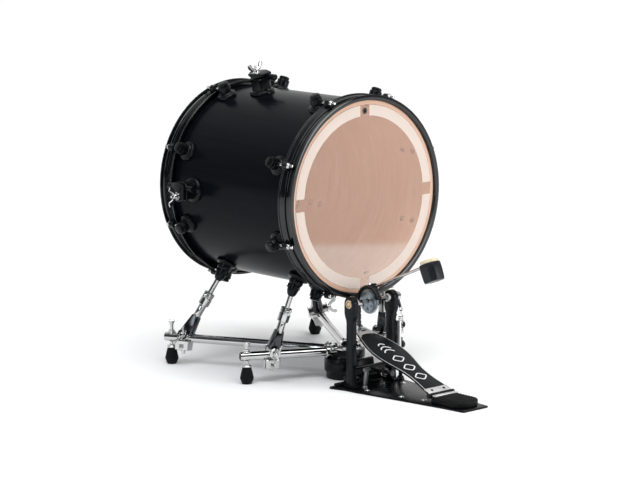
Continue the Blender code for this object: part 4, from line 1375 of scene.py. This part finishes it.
def key_and_screw():
    """The grey key that leans by the left post, and the hoop clamp's screw and cross bar."""
    foot = Vector((PEDAL_X - 0.041, AXLE_Y - 0.024, PLATE_TOP + 0.006))
    tip = foot + Vector((0.001, -0.004, 0.034))
    shapes = [
        bar(foot, tip, 0.0046, 0.0052),
        bar(foot - (tip - foot).normalized() * 0.006, foot, 0.0062, 0.0046),
        bar(tip - X * 0.0080, tip + X * 0.0080, 0.0040),
    ]
    piece("storage_key", ROOT, GREY, *shapes)
    screw = Vector((PEDAL_X + 0.006, AXLE_Y - 0.004, FLOOR + 0.034))
    shapes = [
        bar(screw, screw - Y * 0.048, 0.0040),
        bar(screw - Y * 0.048, screw - Y * 0.054, 0.0072, steps=6),
        bar(screw - Y * 0.028, screw - Y * 0.034, 0.0080),
    ]
    shapes += thread(screw - Y * 0.030, screw - Y * 0.004, 0.0043, 0.0012)[:12]
    piece("hoop_clamp_screw", ROOT, DARK_STEEL, *shapes)
    frame_bar = [
        slab((PEDAL_X, AXLE_Y + 0.006, FLOOR + 0.034), (0.098, 0.013, 0.018), soft=0.0030, segments=3),
        slab((PEDAL_X, AXLE_Y + 0.024, FLOOR + 0.022), (0.048, 0.036, 0.010), soft=0.0024, segments=3),
    ]
    piece("pedal_cross_bar", ROOT, BLACK, *frame_bar)


# Scene


def set_camera():
    """The photograph's angle: low and from the front left, with a long lens."""
    right = Vector((math.cos(AZIMUTH), math.sin(AZIMUTH), 0))
    back = math.cos(ELEVATION) * right.cross(Z) + math.sin(ELEVATION) * Z
    up = back.cross(right)
    rolled_right = math.cos(ROLL) * right + math.sin(ROLL) * up
    rolled_up = math.cos(ROLL) * up - math.sin(ROLL) * right
    turn = Matrix((rolled_right, rolled_up, back)).transposed().to_4x4()
    data = bpy.data.cameras.new("camera")
    data.sensor_width = 36.0
    data.lens = LENS
    data.shift_x, data.shift_y = SHIFT
    data.clip_end = 100.0
    camera = bpy.data.objects.new("camera", data)
    camera.matrix_world = Matrix.Translation(CENTRE + CAMERA_DISTANCE * back) @ turn
    bpy.context.scene.collection.objects.link(camera)
    bpy.context.scene.camera = camera


def area_light(name, place, size, power, colour=(1, 1, 1)):
    """A soft rectangular light that faces the drum's middle."""
    data = bpy.data.lights.new(name, "AREA")
    data.shape = "RECTANGLE"
    data.size, data.size_y = size
    data.energy = power
    data.color = colour
    light = bpy.data.objects.new(name, data)
    light.location = CENTRE + Vector(place)
    light.rotation_euler = Vector(place).to_track_quat("Z", "Y").to_euler()
    bpy.context.scene.collection.objects.link(light)


def set_surround():
    """A studio that is white behind and above the drum, and dark on the camera's side."""
    world = bpy.data.worlds.new("surround")
    world.use_nodes = True
    tree = world.node_tree
    bpy.context.scene.world = world
    place = tree.nodes.new("ShaderNodeTexCoord")
    across = tree.nodes.new("ShaderNodeVectorMath")
    across.operation = "DOT_PRODUCT"
    across.inputs[1].default_value = WHITE_TOWARD
    tree.links.new(place.outputs["Generated"], across.inputs[0])
    slot_shade, grey, white = (0.06, 0.065, 0.07), (0.35, 0.36, 0.37), (1.0, 1.0, 1.0)
    share = spread(tree, across.outputs["Value"], 0.0, 1.0)
    share.node.inputs["From Min"].default_value = -1.0
    light = ramp(tree, share, (0.32, slot_shade), (0.59, grey), (0.73, white), (1.0, white))
    tree.links.new(light, tree.nodes["Background"].inputs["Color"])
    tree.nodes["Background"].inputs["Strength"].default_value = SURROUND_STRENGTH


def set_lights():
    """A broad soft sun from above, a strip high on the left, and a fill at the front."""
    sun = bpy.data.lights.new("soft_sun", "SUN")
    sun.energy = SUN_ENERGY
    sun.angle = SUN_SPREAD
    lamp = bpy.data.objects.new("soft_sun", sun)
    lamp.rotation_euler = SUN_FROM.to_track_quat("Z", "Y").to_euler()
    bpy.context.scene.collection.objects.link(lamp)
    area_light("left_strip", (-2.4, -0.6, 1.6), (0.5, 3.0), 26, colour=(0.84, 0.93, 1.0))
    area_light("front_fill", (1.2, -2.8, 0.5), (1.2, 1.2), 29)
    bpy.context.scene.view_settings.view_transform = "Standard"


def make_floor():
    """A pale floor, wide enough to fill the view."""
    material, tree, bsdf = shader("pale_floor", (0.93, 0.93, 0.93), 0.9, Specular_IOR_Level=0.0)
    cloud = texture(tree, "ShaderNodeTexNoise", 0.6, Detail=2.0)
    pale = ramp(tree, cloud, (0.3, (0.92, 0.92, 0.92)), (0.7, (0.94, 0.94, 0.94)))
    tree.links.new(pale, bsdf.inputs["Base Color"])
    mesh = bpy.data.meshes.new("floor")
    half = 30.0
    corners = [(-half, -half, 0), (half, -half, 0), (half, half, 0), (-half, half, 0)]
    mesh.from_pydata(corners, [], [[0, 1, 2, 3]])
    mesh.materials.append(material)
    floor = bpy.data.objects.new("floor", mesh)
    bpy.context.scene.collection.objects.link(floor)


def make_drum():
    drum_shell()
    lug_screws()
    head("batter", -1, CLEAR, COLLAR)
    head("resonant", 1, WHITE_FILM, BLACK)
    head_coating()
    hoop("batter", -1)
    hoop("resonant", 1)
    lugs()
    arm_bracket("top", *TOP_BRACKET, "top_wing")
    arm_bracket("side", *SIDE_BRACKET, "side_wing")


def make_lift():
    lift_hub()
    for index in range(len(FOOT_SPOTS)):
        lift_arm(index)
        lift_foot(index)
        leg_bracket(index)
        leg(index)


def make_pedal():
    base_plate()
    post("pedal_upright_left", -1, "pedal_post_left")
    post("pedal_upright_right", 1, "pedal_post_right")
    axle()
    cam()
    chain()
    beater_hub()
    beater()
    spring()
    footboard()
    heel_block()
    key_and_screw()


set_camera()
make_floor()
set_surround()
set_lights()
make_drum()
make_lift()
make_pedal()
